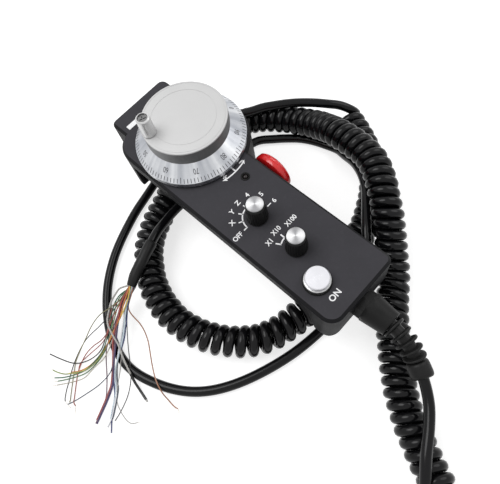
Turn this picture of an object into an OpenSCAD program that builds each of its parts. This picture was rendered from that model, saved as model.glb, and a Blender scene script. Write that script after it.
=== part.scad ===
// Pulse generator handwheel: a corded control pendant with a graduated
// handwheel, two rotary switches, an enable button and an emergency stop.
// Units are millimetres and the control face looks up (+Z).
// The origin is the middle of the pendant without its cord.

/* [Housing] */
// distance from the wheel axis to the left side of the pendant
left_side = 41; // [38:0.5:44]
// distance from the wheel axis to the right side of the handle
handle_right = 17.3; // [15:0.1:20]
// distance from the wheel axis to the tail end of the handle
tail_end = 162; // [150:1:175]
// corner radius at the tail, left side
tail_r_left = 9.5; // [6:0.5:12]
// corner radius at the tail, right side
tail_r_right = 5; // [4.6:0.2:8]
// distance from the wheel axis to the right side of the upper block
block_right = 42; // [41:0.5:44]
// distance from the wheel axis to the upper edge of the block
block_top = 44.5; // [42:0.5:48]
// radius of both shoulders of the upper block
shoulder_r = 19.5; // [15:0.5:22]
// radius of the bulge under the dial
bulge_r = 42; // [41:0.5:44]
// left side of the head block, from the wheel axis
head_left = 28.5; // [25:0.5:32]
// right side of the head block, from the wheel axis
head_right = 25; // [22:0.5:28]
// far end of the head block, from the wheel axis
head_end = 60; // [56:1:66]
// corner radius of the head block
head_r = 5; // [4.6:0.2:8]
// thickness of the whole housing
body_thickness = 36; // [34:0.5:40]
// depth of the parting plane below the control face
split_depth = 18; // [16:0.5:20]
// chamfer around the control face, across and down
face_chamfer = 2; // [0.5:0.1:2.2]
// chamfer around the back face
back_chamfer = 1; // [0.4:0.1:1.5]
// wall thickness
wall = 2.5; // [2:0.1:2.8]
// draft angle of the handle sides, in degrees
draft_angle = 13.6; // [8:0.2:16]
// depth below the control face where the draft begins
draft_from = 10; // [6:1:14]
// distance from the wheel axis to the tail end of the draft cut
draft_stop = 137; // [120:1:145]
// radius of the run-out at the end of the draft cut
draft_runout = 12; // [6:1:14]
// rounding under the tail end
tail_round = 8; // [4:0.5:10]
// housing screw shank diameter
case_screw_d = 3; // [2.5:0.1:4]
// housing screw head diameter
case_head_d = 5.8; // [5:0.1:7]
// outside diameter of the screw posts
post_d = 7.4; // [6.5:0.1:9]

/* [Handwheel] */
// dial diameter
dial_d = 80; // [76:0.5:84]
// running gap between the dial and the control face
dial_gap = 1; // [0.6:0.1:2]
// height of the dial's straight rim above the face
rim_top = 5; // [4:0.1:6]
// height of the top of the silver cone above the face
cone_top = 14.5; // [12:0.1:16]
// knob diameter
knob_d = 60; // [56:0.5:64]
// height of the top of the knob above the face
knob_top = 26; // [22:0.5:30]
// thickness of the disc on top of the knob
disc_t = 1; // [0.8:0.1:2]
// spindle diameter
spindle_d = 8; // [6:0.5:10]
// encoder body diameter behind the face
encoder_d = 54; // [48:0.5:58]
// encoder body depth behind the face
encoder_depth = 24.5; // [20:0.5:28]
// distance from the edge of the knob to the axis of the crank grip
crank_inset = 5; // [4.5:0.1:8]
// rest direction of the crank grip, in degrees
crank_angle = 159; // [0:1:359]
// crank grip diameter at its foot
grip_foot_d = 9.9; // [9:0.1:11]
// crank grip diameter at its top
grip_top_d = 9.3; // [8.6:0.1:10]
// height of the grip top above the face
grip_top = 42; // [38:0.5:46]
// crank pin diameter
pin_d = 5; // [4:0.1:6]

/* [Switches and button] */
// distance between the wheel axis line and the rotary switches
switch_left = 15.5; // [13:0.5:18]
// axis selector, distance below the wheel axis
axis_switch_y = 78; // [74:0.5:82]
// multiplier selector, distance below the wheel axis
multiplier_switch_y = 111.5; // [105:0.5:115]
// knob skirt diameter
skirt_d = 14.8; // [14:0.1:16]
// knob diameter under its top
knob_neck_d = 13; // [12:0.1:14]
// silver cap diameter
cap_d = 11.4; // [10.8:0.1:12]
// height of the silver cap above the face
cap_top = 18; // [16:0.5:20]
// number of grooves around a knob
knurls = 24; // [16:1:32]
// rotary switch body diameter
switch_body_d = 22; // [18:0.5:24]
// rotary switch shaft diameter
switch_shaft_d = 6; // [5:0.1:6.4]
// enable button, distance left of the wheel axis
button_left = 24.7; // [22:0.1:27]
// enable button, distance below the wheel axis
button_y = 136; // [130:0.5:140]
// enable button cap diameter
button_cap_d = 15.6; // [14:0.1:16]
// enable button bezel diameter
bezel_d = 17.2; // [16.8:0.1:19]
// gasket diameter under the bezel
gasket_d = 18.5; // [17.8:0.1:20]
// height of the button cap above the face
button_top = 7.6; // [7:0.1:9]
// travel of the enable button
button_travel = 2.5; // [2:0.1:2.8]
// signal lamp, distance right of the wheel axis
lamp_x = 1.6; // [-4:0.1:4]
// signal lamp, distance below the wheel axis
lamp_y = 51; // [49:0.5:54]
// signal lamp barrel diameter
lamp_d = 5.5; // [4:0.1:7]

/* [Emergency stop] */
// distance below the wheel axis
stop_y = 54.5; // [52:0.5:58]
// mushroom head diameter
stop_d = 29; // [26:0.5:30]
// distance from the wheel axis to the back of the head
stop_back = 20.4; // [20.4:0.1:24]
// length of the head's rim
stop_rim = 6; // [5:0.1:7]
// height of the dome on the head
stop_dome = 2.8; // [2:0.1:4]
// travel of the head
stop_travel = 2.4; // [1.5:0.1:2.4]
// distance from the wheel axis to the flat pad on the side wall
pad_face = 17.3; // [17.3:0.1:18]

/* [Gland] */
// distance left of the wheel axis
gland_left = 12; // [10:0.5:14]
// gland diameter against the end wall
gland_d = 20.5; // [19:0.5:22]
// gland diameter at its mouth
gland_mouth_d = 16.4; // [15:0.2:18]
// length of the gland outside the end wall
gland_length = 22; // [18:0.5:24]
// number of wrench flats on the gland
gland_flats = 8; // [6:1:10]

/* [Cord] */
// cord diameter
cord_d = 6.6; // [6:0.1:7.5]
// outside diameter of the curly cord
coil_d = 23; // [20:0.5:26]
// diameter of the sleeve over the free end
sleeve_d = 10; // [9:0.5:11]
// diameter of a bundle of wires
bundle_d = 4.4; // [3:0.1:5]
// diameter of a lone wire
wire_d = 2.4; // [2:0.1:3]

/* [Fits] */
// radial running clearance of shafts and pins
running = 0.05; // [0.02:0.01:0.1]
// axial play of turning pieces
play = 0.3; // [0.2:0.05:0.5]

/* [Hidden] */
$fn = 64;
// the wheel axis and the control face in the shared frame
wheel_y = 62;
panel_z = -3;
// the surface that the cord lies on
floor_z = -64.3;
e = 0.01;
dial_r = dial_d / 2;
flange_r = dial_r - 6;
knob_r = knob_d / 2;
crank_reach = knob_r - crank_inset;
cone_r = knob_r - 0.2;
spindle_r = spindle_d / 2;
encoder_r = encoder_d / 2;
encoder_bottom = -wall - encoder_depth;
disc_z = knob_top - disc_t;
grip_z = knob_top + play;
ledge_z = grip_top - 3.1;
pin_r = pin_d / 2;
shaft_r = switch_shaft_d / 2;
skirt_r = skirt_d / 2;
neck_r = knob_neck_d / 2;
cap_r = cap_d / 2;
skirt_z = 0.8;
cap_seat = cap_top - 2.4;
bush_r = 3.9;
gasket_t = 0.8;
bezel_top = 4.5;
button_r = button_cap_d / 2;
plunger_r = 4;
button_barrel_r = 7;
cap_under = bezel_top - 0.6;
post_r = post_d / 2;
case_r = case_screw_d / 2;
case_head_r = case_head_d / 2;
stop_r = stop_d / 2;
stem_r = 4.5;
barrel_r = 8;
gland_r = gland_d / 2;
gland_mouth_r = gland_mouth_d / 2;
gland_barrel_r = 6.5;
cord_r = cord_d / 2;
posts = [[-27.5, 24], [34, 14], [0, 52], [-30, -152.5], [9, -154]];
flange_screws = [30, 150, 270];

// cord routes: across, along, and height of the axis above the surface
relief_route = [[-12, -117, 43.3], [-13, -136.5, 44.5], [-18.5, -146.5, 35.6]];
lead_route = [[-19.5, -148.5, 35], [-22, -153.5, 33.4], [-26.5, -160, 31.6],
    [-33.5, -167.5, 30], [-44, -175, 28.5], [-57, -182.5, 27.5],
    [-68, -190.5, 24], [-80, -199.5, 14], [-95.5, -206.5, 5],
    [-113, -209.5, 3.3], [-129, -218, 3.3], [-137, -234, 3.3],
    [-131, -251, 3.3], [-113, -260.5, 3.6], [-95, -256, 6.2], [-80, -239, 10],
    [-70.5, -214.5, 11.5]];
near_route = [[-70.5, -214.5, 11.5], [-54.5, -181.5, 11.5],
    [-37.5, -155, 11.5], [-10.5, -128, 11.5], [8.5, -113, 11.5],
    [23, -103, 14], [34.5, -92, 21], [55.5, -68.5, 37], [76.5, -40.5, 40],
    [83.5, -4.5, 34], [86.5, 16.5, 23], [84, 34.5, 16], [77.5, 51.5, 12.5],
    [62.5, 69.5, 11.5], [39.5, 79, 11.5]];
far_route = [[39.5, 79, 11.5], [2.5, 79, 11.5], [-31.5, 71, 11.5],
    [-70.5, 53.5, 11.5], [-92.5, 24.5, 11.5], [-98.5, -7.5, 11.5],
    [-89, -38, 11.5], [-68, -61, 11.5], [-34.5, -70.5, 11.5],
    [12.5, -68.5, 11.5], [53, -58.5, 11.5], [83, -40.5, 11.5],
    [104, -11.5, 11.5], [112.5, 8, 11.5]];
tail_route = [[112.5, 8, 11.5], [116.5, 7.5, 18.5], [113.5, 16.5, 21.3],
    [106.5, 24, 24.6], [99, 31.5, 26.8], [91.5, 40.5, 28], [83.5, 48.5, 27.6],
    [75, 55.5, 27.4], [68.5, 60, 27], [59, 64, 26.8], [48, 75, 26.6],
    [46, 87, 24.5], [40, 96, 15], [27, 100, 6], [8, 100.5, 3.3],
    [-14, 98.5, 3.3], [-42, 92, 3.3], [-63.5, 86, 3.3], [-96, 71.5, 3.3],
    [-120, 52.5, 3.3], [-138.5, 26, 3.3], [-145, 0.5, 3.3],
    [-139.5, -24.5, 3.3], [-125.5, -48.5, 3.3], [-103.5, -66, 3.3],
    [-60.5, -82.5, 3.3], [-15.5, -87.5, 3.6], [3, -85.5, 8], [13, -83, 16],
    [21, -79, 22], [29, -73.5, 25.5], [36.5, -67.5, 27.2], [45, -61, 27.2],
    [55.5, -53, 26.4], [63, -47, 25.4], [71.5, -37, 23.2], [79, -25, 17.5],
    [84, -12.5, 10], [87.5, -2, 5], [86, 8.5, 3.3], [82.5, 19.5, 3.3],
    [77.5, 29.5, 3.3], [71.5, 37.5, 3.3], [64, 46, 3.3], [53.5, 56, 3.3],
    [35, 60, 3.3], [4, 60.5, 3.3], [-27, 54.5, 8], [-50, 47, 18.5],
    [-71, 44, 27.5]];
sleeve_route = [[-71, 44, 27.5], [-82, 39.5, 28.8], [-93, 36, 27.3],
    [-103, 33.5, 22.5]];
down_route = [[-104.5, 33, 20.5], [-117, 28, 15], [-131, 21, 11.5],
    [-143, 14, 9.5], [-156.5, 4, 4], [-169.5, -7.5, 2.5],
    [-182.5, -18.5, 2.5]];
left_route = [[-105, 37.5, 21.5], [-118, 39, 16], [-130, 38, 11.5],
    [-143, 36, 7.5], [-157.5, 34, 3.5], [-171.5, 31, 2.2], [-186.5, 26, 2.2]];
right_route = [[-103, 29, 19], [-115, 21, 14], [-121, 11, 9], [-128, -4, 8],
    [-136, -18.5, 9.5], [-140, -31.5, 9], [-142, -43.5, 5],
    [-143, -53.5, 1.8]];

// ---------- shared shapes ----------
module at_wheel() {
    translate([0, wheel_y, panel_z]) children();
}

module rod(z0, z1, r) {
    translate([0, 0, z0]) cylinder(h = z1 - z0, r = r);
}

module cone(z0, z1, r0, r1) {
    translate([0, 0, z0]) cylinder(h = z1 - z0, r1 = r0, r2 = r1);
}

// a bar along +X
module bar_x(x0, x1, r) {
    translate([x0, 0, 0]) rotate([0, 90, 0]) cylinder(h = x1 - x0, r = r);
}

// a bar along Y
module bar_y(y0, y1, r) {
    translate([0, y1, 0]) rotate([90, 0, 0]) cylinder(h = y1 - y0, r = r);
}

// one half of a rounded block between two heights, with an inset at each
module half_block(x_in, x_out, y0, y1, r, z0, z1, i0, i1) {
    s = x_out > x_in ? 1 : -1;
    xc = x_out - s * r;
    // the straight side
    translate([0, y1 - r, 0]) rotate([90, 0, 0])
        linear_extrude(y1 - y0 - 2 * r)
            polygon([[x_in, z0], [x_out - s * i0, z0],
                [x_out - s * i1, z1], [x_in, z1]]);
    // the two ends
    translate([min(x_in, xc), 0, 0]) rotate([90, 0, 90])
        linear_extrude(abs(xc - x_in))
            polygon([[y0 + i0, z0], [y1 - i0, z0],
                [y1 - i1, z1], [y0 + i1, z1]]);
    for (y = [y0 + r, y1 - r])
        translate([xc, y, z0])
            cylinder(h = z1 - z0, r1 = r - i0, r2 = r - i1);
}

// the wedge-shaped cut that gives a handle side its draft
module draft_cut(x, s, y_from, y_to, extra) {
    translate([x, 0, -draft_from]) rotate([0, s * draft_angle, 0]) {
        translate([s > 0 ? -extra : -30, y_from, -50])
            cube([30 + extra, y_to - y_from, 50]);
        translate([s * (draft_runout - extra), y_from, -50])
            cylinder(h = 50, r = draft_runout);
    }
}

// one slice of the outline, with the inset at its bottom and at its top
module slice(z0, z1, i0, i1, extra) {
    difference() {
        union() {
            difference() {
                half_block(-13, handle_right, -tail_end, 12, tail_r_right,
                    z0, z1, i0, i1);
                draft_cut(handle_right, 1, -draft_stop, 20, extra);
            }
            half_block(-11, -left_side, -tail_end, 12, tail_r_left,
                z0, z1, i0, i1);
            half_block(-1, block_right, -shoulder_r, block_top,
                shoulder_r, z0, z1, i0, i1);
            half_block(1, -left_side, -shoulder_r, block_top,
                shoulder_r, z0, z1, i0, i1);
            half_block(-3, head_right, 10, head_end, head_r,
                z0, z1, i0, i1);
            half_block(3, -head_left, 10, head_end, head_r,
                z0, z1, i0, i1);
            intersection() {
                cone(z0, z1, bulge_r - i0, bulge_r - i1);
                translate([-10, -60, z0 - 1]) cube([70, 120, z1 - z0 + 2]);
            }
        }
        draft_cut(-left_side, -1, -draft_stop, 24, extra);
    }
}

// rounding under the tail end
module tail_cut(inset) {
    r = tail_round - inset;
    y = -tail_end + tail_round;
    z = -body_thickness + tail_round;
    translate([-60, 0, 0]) rotate([90, 0, 90]) linear_extrude(120)
        difference() {
            translate([y - 20, z - 20]) square([20, 20]);
            translate([y, z]) circle(r);
        }
}

module outside() {
    difference() {
        union() {
            slice(-body_thickness, -body_thickness + back_chamfer,
                back_chamfer, 0, 0);
            slice(-body_thickness + back_chamfer, -face_chamfer, 0, 0, 0);
            slice(-face_chamfer, 0, 0, face_chamfer - 0.1, 0);
            translate([0, -stop_y, -split_depth])
                bar_x(8, pad_face, 14);
        }
        tail_cut(0);
    }
}

module inside() {
    difference() {
        slice(-body_thickness + wall, -wall, wall, wall, wall);
        tail_cut(wall);
        // the solid seat behind the emergency stop
        translate([0, -stop_y, -split_depth]) bar_x(13, 30, 14);
    }
}

module shell_openings() {
    // cord gland
    translate([-gland_left, 0, -split_depth])
        bar_y(-tail_end - 1, -tail_end + 12, gland_barrel_r);
    // emergency stop barrel and room for its nut
    translate([0, -stop_y, -split_depth]) {
        bar_x(5, pad_face + 1, barrel_r);
        bar_x(5, 13, 11.8);
    }
}

// ---------- housing ----------
module front_shell() {
    color([0.13, 0.13, 0.14]) difference() {
        union() {
            difference() {
                outside();
                inside();
            }
            for (p = posts)
                translate([p[0], p[1], 0])
                    rod(-split_depth, -wall + e, post_r);
        }
        translate([-80, -200, -60]) cube([160, 300, 60 - split_depth]);
        shell_openings();
        for (p = posts)
            translate([p[0], p[1], 0]) rod(-20, -7, case_r);
        rod(-5, 1, 14);
        for (a = flange_screws)
            rotate([0, 0, a]) translate([21, 0, 0]) rod(-5, 1, 1.5);
        translate([-switch_left, -axis_switch_y, 0]) rod(-5, 1, bush_r);
        translate([-switch_left, -multiplier_switch_y, 0])
            rod(-5, 1, bush_r);
        translate([-button_left, -button_y, 0])
            rod(-5, 1, button_barrel_r);
        translate([lamp_x, -lamp_y, 0]) rod(-5, 1, lamp_d / 2);
    }
}

module rear_shell() {
    color([0.1, 0.1, 0.11]) difference() {
        union() {
            difference() {
                outside();
                inside();
            }
            for (p = posts)
                translate([p[0], p[1], 0])
                    rod(-body_thickness + wall - e, -split_depth, post_r);
        }
        translate([-80, -200, -split_depth]) cube([160, 300, 60]);
        shell_openings();
        for (p = posts)
            translate([p[0], p[1], 0]) {
                rod(-40, -10, case_r);
                rod(-40, -body_thickness + 4, case_head_r);
            }
    }
}

module case_screw() {
    difference() {
        union() {
            rod(-body_thickness + 4, -9, case_r);
            rod(-body_thickness + 2, -body_thickness + 4, case_head_r);
        }
        translate([-2, -0.4, -body_thickness + 1]) cube([4, 0.8, 2.1]);
        translate([-0.4, -2, -body_thickness + 1]) cube([0.8, 4, 2.1]);
    }
}

module housing_screws() {
    color([0.3, 0.3, 0.32])
        for (p = posts) translate([p[0], p[1], 0]) case_screw();
}

module label_strip() {
    color([0.92, 0.92, 0.92])
        translate([-23.2, 42.9, 0]) cube([42.4, 4, 0.3]);
}

// ---------- handwheel, fixed pieces ----------
module encoder_flange() {
    color([0.1, 0.1, 0.1]) difference() {
        union() {
            rod(0, 2, flange_r);
            rod(-wall, 0, 14);
        }
        rod(-5, 4, spindle_r + 0.6);
        for (a = flange_screws)
            rotate([0, 0, a]) translate([21, 0, 0]) {
                rod(-5, 4, 1.5);
                rod(0.6, 4, 2.8);
            }
    }
}

module encoder_screws() {
    color([0.7, 0.7, 0.72])
        for (a = flange_screws)
            rotate([0, 0, a]) translate([21, 0, 0]) difference() {
                union() {
                    rod(-9, 0.6, 1.5);
                    rod(0.6, 1.9, 2.8);
                }
                translate([-2, -0.4, 1.2]) cube([4, 0.8, 2]);
            }
}

module encoder_body() {
    color([0.2, 0.2, 0.22]) difference() {
        rod(encoder_bottom, -wall, encoder_r);
        rod(-17, -11, 24);
        rod(encoder_bottom + 1, 1, spindle_r + 0.6);
        rod(-8, -4, 8);
        rod(encoder_bottom + 2, encoder_bottom + 6, 8);
        for (a = flange_screws)
            rotate([0, 0, a]) translate([21, 0, 0]) rod(-9, 1, 1.5);
    }
}

module bearing(z) {
    difference() {
        rod(z, z + 4, 8);
        rod(z - 1, z + 5, spindle_r + running);
    }
}

module spindle_bearings() {
    color([0.75, 0.75, 0.77]) {
        bearing(-8);
        bearing(encoder_bottom + 2);
    }
}

module terminal_board() {
    color([0.1, 0.35, 0.2]) difference() {
        translate([-18, -18, encoder_bottom - 1.6]) cube([36, 36, 1.6]);
        for (x = [-14, 14], y = [-14, 14])
            translate([x, y, 0]) rod(-40, -20, 1.6);
    }
    color([0.15, 0.4, 0.2]) for (x = [-12:6:12])
        translate([x - 2, -14, encoder_bottom - 4.6]) cube([4, 6, 3]);
}

// ---------- handwheel, turning pieces ----------
module dial_ring() {
    color([0.82, 0.82, 0.84]) rotate_extrude($fn = 128)
        polygon([[spindle_r, 2.6], [9, 2.6], [9, 11.5], [27, 11.5],
            [dial_r - 3.6, rim_top - 1], [dial_r - 3.6, dial_gap],
            [dial_r - 0.3, dial_gap], [dial_r, dial_gap + 0.3],
            [dial_r, rim_top], [cone_r, cone_top], [spindle_r, cone_top]]);
}

module knob_body() {
    color([0.25, 0.25, 0.27]) difference() {
        union() {
            rod(cone_top, cone_top + 1.5, cone_r);
            rod(cone_top + 1.5, disc_z, knob_r);
        }
        difference() {
            rod(17, 40, 26.5);
            // the post that holds the crank pin
            rotate([0, 0, crank_angle]) translate([crank_reach, 0, 0])
                rod(10, 50, 4.4);
        }
        rod(10, 20, spindle_r);
        rotate([0, 0, crank_angle]) translate([crank_reach, 0, 0])
            rod(18, 40, pin_r);
    }
}

module top_disc() {
    color([0.85, 0.85, 0.86]) difference() {
        rotate_extrude($fn = 128) difference() {
            polygon([[0, disc_z], [knob_r, disc_z], [knob_r, knob_top - 0.3],
                [knob_r - 0.3, knob_top], [0, knob_top]]);
            translate([22.3, knob_top - 0.15]) square([0.5, 1]);
            translate([28.3, knob_top - 0.15]) square([0.4, 1]);
        }
        rotate([0, 0, crank_angle]) translate([crank_reach, 0, 0])
            rod(10, 40, pin_r);
    }
}

module spindle() {
    color([0.7, 0.7, 0.72]) {
        rod(encoder_bottom + 1.5, 22.5, spindle_r);
    }
}

module hub_nut() {
    color([0.7, 0.7, 0.72]) difference() {
        translate([0, 0, 17]) cylinder(h = 5, r = 7.5, $fn = 6);
        rod(16, 23, spindle_r);
    }
}

module code_disc() {
    color([0.6, 0.65, 0.7]) difference() {
        rod(-14.5, -13.5, 22);
        rod(-16, -12, spindle_r);
        for (a = [0:30:330])
            rotate([0, 0, a]) translate([19, 0, 0]) rod(-16, -12, 1);
    }
}

module crank_pin() {
    color([0.6, 0.6, 0.62]) rotate([0, 0, crank_angle])
        translate([crank_reach, 0, 0]) difference() {
            union() {
                rod(18, ledge_z + play, pin_r);
                rod(ledge_z + play, ledge_z + play + 1.5, 3.4);
            }
            translate([-2.2, -0.4, ledge_z + play + 0.8]) cube([4.4, 0.8, 1]);
            translate([-0.4, -2.2, ledge_z + play + 0.8]) cube([0.8, 4.4, 1]);
        }
}

module crank_grip() {
    color([0.75, 0.75, 0.77]) rotate([0, 0, crank_angle])
        translate([crank_reach, 0, 0])
            rotate_extrude()
                polygon([[pin_r + running, grip_z],
                    [grip_foot_d / 2 - 0.3, grip_z],
                    [grip_foot_d / 2, grip_z + 0.4],
                    [grip_top_d / 2, grip_top - 0.7],
                    [grip_top_d / 2 - 0.6, grip_top],
                    [3.6, grip_top], [3.6, ledge_z],
                    [pin_r + running, ledge_z]]);
}

// ---------- rotary switches ----------
module switch_body() {
    difference() {
        union() {
            rod(-22, -wall, switch_body_d / 2);
            rod(-wall - 1, 2.9, bush_r);
            for (a = [0:30:330])
                rotate([0, 0, a]) translate([8, -0.6, -26])
                    cube([1, 1.2, 5]);
        }
        rod(-18, 4, shaft_r + running);
    }
}

module switch_nut() {
    difference() {
        cylinder(h = 2, r = 6, $fn = 6);
        rod(-1, 3, bush_r);
    }
}

module switch_shaft() {
    rod(-17, 14, shaft_r);
}

module knurled_knob() {
    h = cap_top - 1;
    lean = atan((skirt_r - neck_r) / (h - skirt_z));
    difference() {
        rotate_extrude()
            polygon([[0, skirt_z], [skirt_r, skirt_z], [skirt_r, 2.2],
                [neck_r, h - 0.7], [neck_r - 0.6, h], [0, h]]);
        rod(0, 3.2, 6.25);
        rod(3, 14, shaft_r);
        rod(cap_seat, 30, cap_r);
        for (i = [0:knurls - 1])
            rotate([0, 0, i * 360 / knurls])
                translate([skirt_r + 0.15, 0, 2.4])
                    rotate([0, -lean, 0])
                        translate([0, 0, -0.2])
                            cylinder(h = 13.2, r = 0.5, $fn = 16);
    }
}

module knob_cap() {
    rotate_extrude()
        polygon([[0, cap_seat], [cap_r, cap_seat], [cap_r, cap_top - 0.4],
            [cap_r - 0.4, cap_top], [0, cap_top]]);
}

module at_axis_switch() {
    translate([-switch_left, -axis_switch_y, 0]) children();
}

module at_multiplier_switch() {
    translate([-switch_left, -multiplier_switch_y, 0]) children();
}

module axis_switch_body() {
    color([0.2, 0.2, 0.22]) at_axis_switch() switch_body();
}

module axis_switch_nut() {
    color([0.7, 0.7, 0.72]) at_axis_switch() switch_nut();
}

module axis_shaft() {
    color([0.7, 0.7, 0.72]) at_axis_switch() switch_shaft();
}

module axis_knob() {
    color([0.07, 0.07, 0.07]) at_axis_switch() knurled_knob();
}

module axis_knob_cap() {
    color([0.85, 0.85, 0.87]) at_axis_switch() knob_cap();
}

module multiplier_switch_body() {
    color([0.2, 0.2, 0.22]) at_multiplier_switch() switch_body();
}

module multiplier_switch_nut() {
    color([0.7, 0.7, 0.72]) at_multiplier_switch() switch_nut();
}

module multiplier_shaft() {
    color([0.7, 0.7, 0.72]) at_multiplier_switch() switch_shaft();
}

module multiplier_knob() {
    color([0.07, 0.07, 0.07]) at_multiplier_switch() knurled_knob();
}

module multiplier_knob_cap() {
    color([0.85, 0.85, 0.87]) at_multiplier_switch() knob_cap();
}

// ---------- enable button and lamp ----------
module at_button() {
    translate([-button_left, -button_y, 0]) children();
}

module button_gasket() {
    color([0.05, 0.05, 0.05]) at_button() difference() {
        rod(0, gasket_t, gasket_d / 2);
        rod(-1, 2, button_barrel_r);
    }
}

module button_bezel() {
    color([0.8, 0.8, 0.82]) at_button() difference() {
        union() {
            rod(gasket_t, bezel_top - 0.4, bezel_d / 2);
            cone(bezel_top - 0.4, bezel_top, bezel_d / 2,
                bezel_d / 2 - 0.3);
            rod(-12, gasket_t + e, button_barrel_r);
        }
        rod(cap_under - button_travel - 0.1, 6, button_r + running);
        rod(-13, 6, plunger_r + running);
    }
}

module button_nut() {
    color([0.7, 0.7, 0.72]) at_button() difference() {
        translate([0, 0, -wall - 3]) cylinder(h = 3, r = 10, $fn = 6);
        rod(-8, 0, button_barrel_r);
    }
}

module button_block() {
    color([0.12, 0.12, 0.13]) at_button() difference() {
        translate([-8.5, -8.5, -27]) cube([17, 17, 15]);
        rod(-20, -11, plunger_r + running);
    }
}

module button_cap() {
    color([0.85, 0.85, 0.87]) at_button()
        rotate_extrude()
            polygon([[0, cap_under], [button_r, cap_under],
                [button_r, button_top - 0.6], [button_r - 0.5, button_top],
                [0, button_top]]);
}

module button_plunger() {
    color([0.9, 0.9, 0.9]) at_button() rod(-15, cap_under, plunger_r);
}

module lamp_bezel() {
    color([0.06, 0.06, 0.06]) translate([lamp_x, -lamp_y, 0])
        rotate_extrude()
            polygon([[1.9, -6], [lamp_d / 2, -6], [lamp_d / 2, 0],
                [3.3, 0], [3.1, 0.5], [2.7, 0.6], [2.1, 0.1], [1.9, -1]]);
}

module lamp_lens() {
    color([0.1, 0.05, 0.05]) translate([lamp_x, -lamp_y, 0]) {
        rod(1 - split_depth / 2, -1, 1.9);
        translate([0, 0, -1]) intersection() {
            sphere(r = 1.9);
            rod(0, 3, 1.9);
        }
    }
}

// ---------- emergency stop ----------
module at_stop() {
    translate([0, -stop_y, -split_depth]) children();
}

module stop_collar() {
    color([0.1, 0.1, 0.1]) at_stop() difference() {
        union() {
            bar_x(3, pad_face, barrel_r);
            bar_x(pad_face, pad_face + 0.6, 10.5);
        }
        bar_x(2, pad_face + 2, stem_r + running);
    }
}

module stop_nut() {
    color([0.3, 0.3, 0.3]) at_stop() difference() {
        translate([10, 0, 0]) rotate([0, 90, 0])
            cylinder(h = 3, r = 11, $fn = 6);
        bar_x(9, 14, barrel_r);
    }
}

module stop_block() {
    color([0.15, 0.3, 0.15]) at_stop() difference() {
        translate([-14, -9.5, -split_depth / 2]) cube([17, 19, split_depth]);
        bar_x(-9, 4, stem_r + running);
    }
}

module stop_stem() {
    color([0.75, 0.75, 0.77]) at_stop()
        bar_x(-2, stop_back + 4, stem_r);
}

module stop_head() {
    rim = stop_back + stop_rim;
    color([0.75, 0.04, 0.04]) at_stop() rotate([0, 90, 0]) rotate_extrude($fn = 96)
        difference() {
            union() {
                polygon([[stem_r + running, stop_back],
                    [stop_r - 0.8, stop_back], [stop_r, stop_back + 0.9],
                    [stop_r, rim - 2.6], [stop_r - 0.9, rim - 2.2],
                    [stop_r - 0.9, rim - 1.6], [stop_r - 0.3, rim - 1.2],
                    [stop_r - 0.6, rim - 0.4], [stop_r - 1.6, rim],
                    [0, rim], [0, stop_back + 4 + play],
                    [stem_r + running, stop_back + 4 + play]]);
                intersection() {
                    translate([0, rim + stop_dome - 31])
                        circle(r = 31, $fn = 256);
                    translate([0, rim - e]) square([stop_r - 2, 10]);
                }
            }
            translate([6.5, stop_back - 1]) square([5.5, 3]);
        }
}

// ---------- gland ----------
module at_gland() {
    translate([-gland_left, -tail_end, -split_depth]) children();
}

module gland_body() {
    color([0.08, 0.08, 0.08]) at_gland() difference() {
        union() {
            bar_y(0, 9, gland_barrel_r);
            rotate([90, 0, 0])
                cylinder(h = 5, r = gland_r, $fn = gland_flats);
        }
        bar_y(-6, 10, cord_r + 0.3);
    }
}

module gland_cap() {
    lean = atan((gland_r - gland_mouth_r) / (gland_length - 5));
    color([0.08, 0.08, 0.08]) at_gland() difference() {
        rotate([90, 0, 0])
            cone(5, gland_length, gland_r + 0.2, gland_mouth_r + 0.2);
        for (i = [0:gland_flats - 1])
            rotate([0, i * 360 / gland_flats, 0])
                translate([0, -5, gland_r - 0.5]) rotate([-lean, 0, 0])
                    translate([-10, -30, 0]) cube([20, 40, 10]);
        bar_y(-gland_length - 1, -4, 6);
    }
}

module gland_nut() {
    color([0.08, 0.08, 0.08]) at_gland() difference() {
        translate([0, wall + 3.5, 0]) rotate([90, 0, 0])
            cylinder(h = 3.5, r = 10, $fn = 6);
        bar_y(0, 9, gland_barrel_r);
    }
}

// ---------- cord ----------
function unit(v) = v / norm(v);
function heading(p, i) =
    unit(p[min(i + 1, len(p) - 1)] - p[max(i - 1, 0)]);
function side(t) = unit(cross(t, [0, 0, 1]));
function on_floor(p) = [p[0], p[1], p[2] + floor_z];
function ring(c, t, r, n) =
    [for (k = [0:n - 1])
        c + r * (cos(360 * k / n) * side(t)
            + sin(360 * k / n) * cross(side(t), t))];
function bend(p, t) =
    (1 - t) * (1 - t) * p[0] + 2 * t * (1 - t) * p[1] + t * t * p[2];

// a tube along a list of points, one radius for each point
module tube(pts, radii, n) {
    rings = [for (i = [0:len(pts) - 1])
        ring(on_floor(pts[i]), heading(pts, i), radii[i], n)];
    verts = [for (r = rings) each r];
    last = (len(pts) - 1) * n;
    skin = [for (i = [0:len(pts) - 2], k = [0:n - 1]) each [
        [i * n + k, (i + 1) * n + k, (i + 1) * n + (k + 1) % n],
        [i * n + k, (i + 1) * n + (k + 1) % n, i * n + (k + 1) % n]]];
    polyhedron(verts, concat([[for (k = [0:n - 1]) k]], skin,
        [[for (k = [n - 1:-1:0]) last + k]]));
}

module even_tube(pts, r, n) {
    tube(pts, [for (p = pts) r], n);
}

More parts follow.
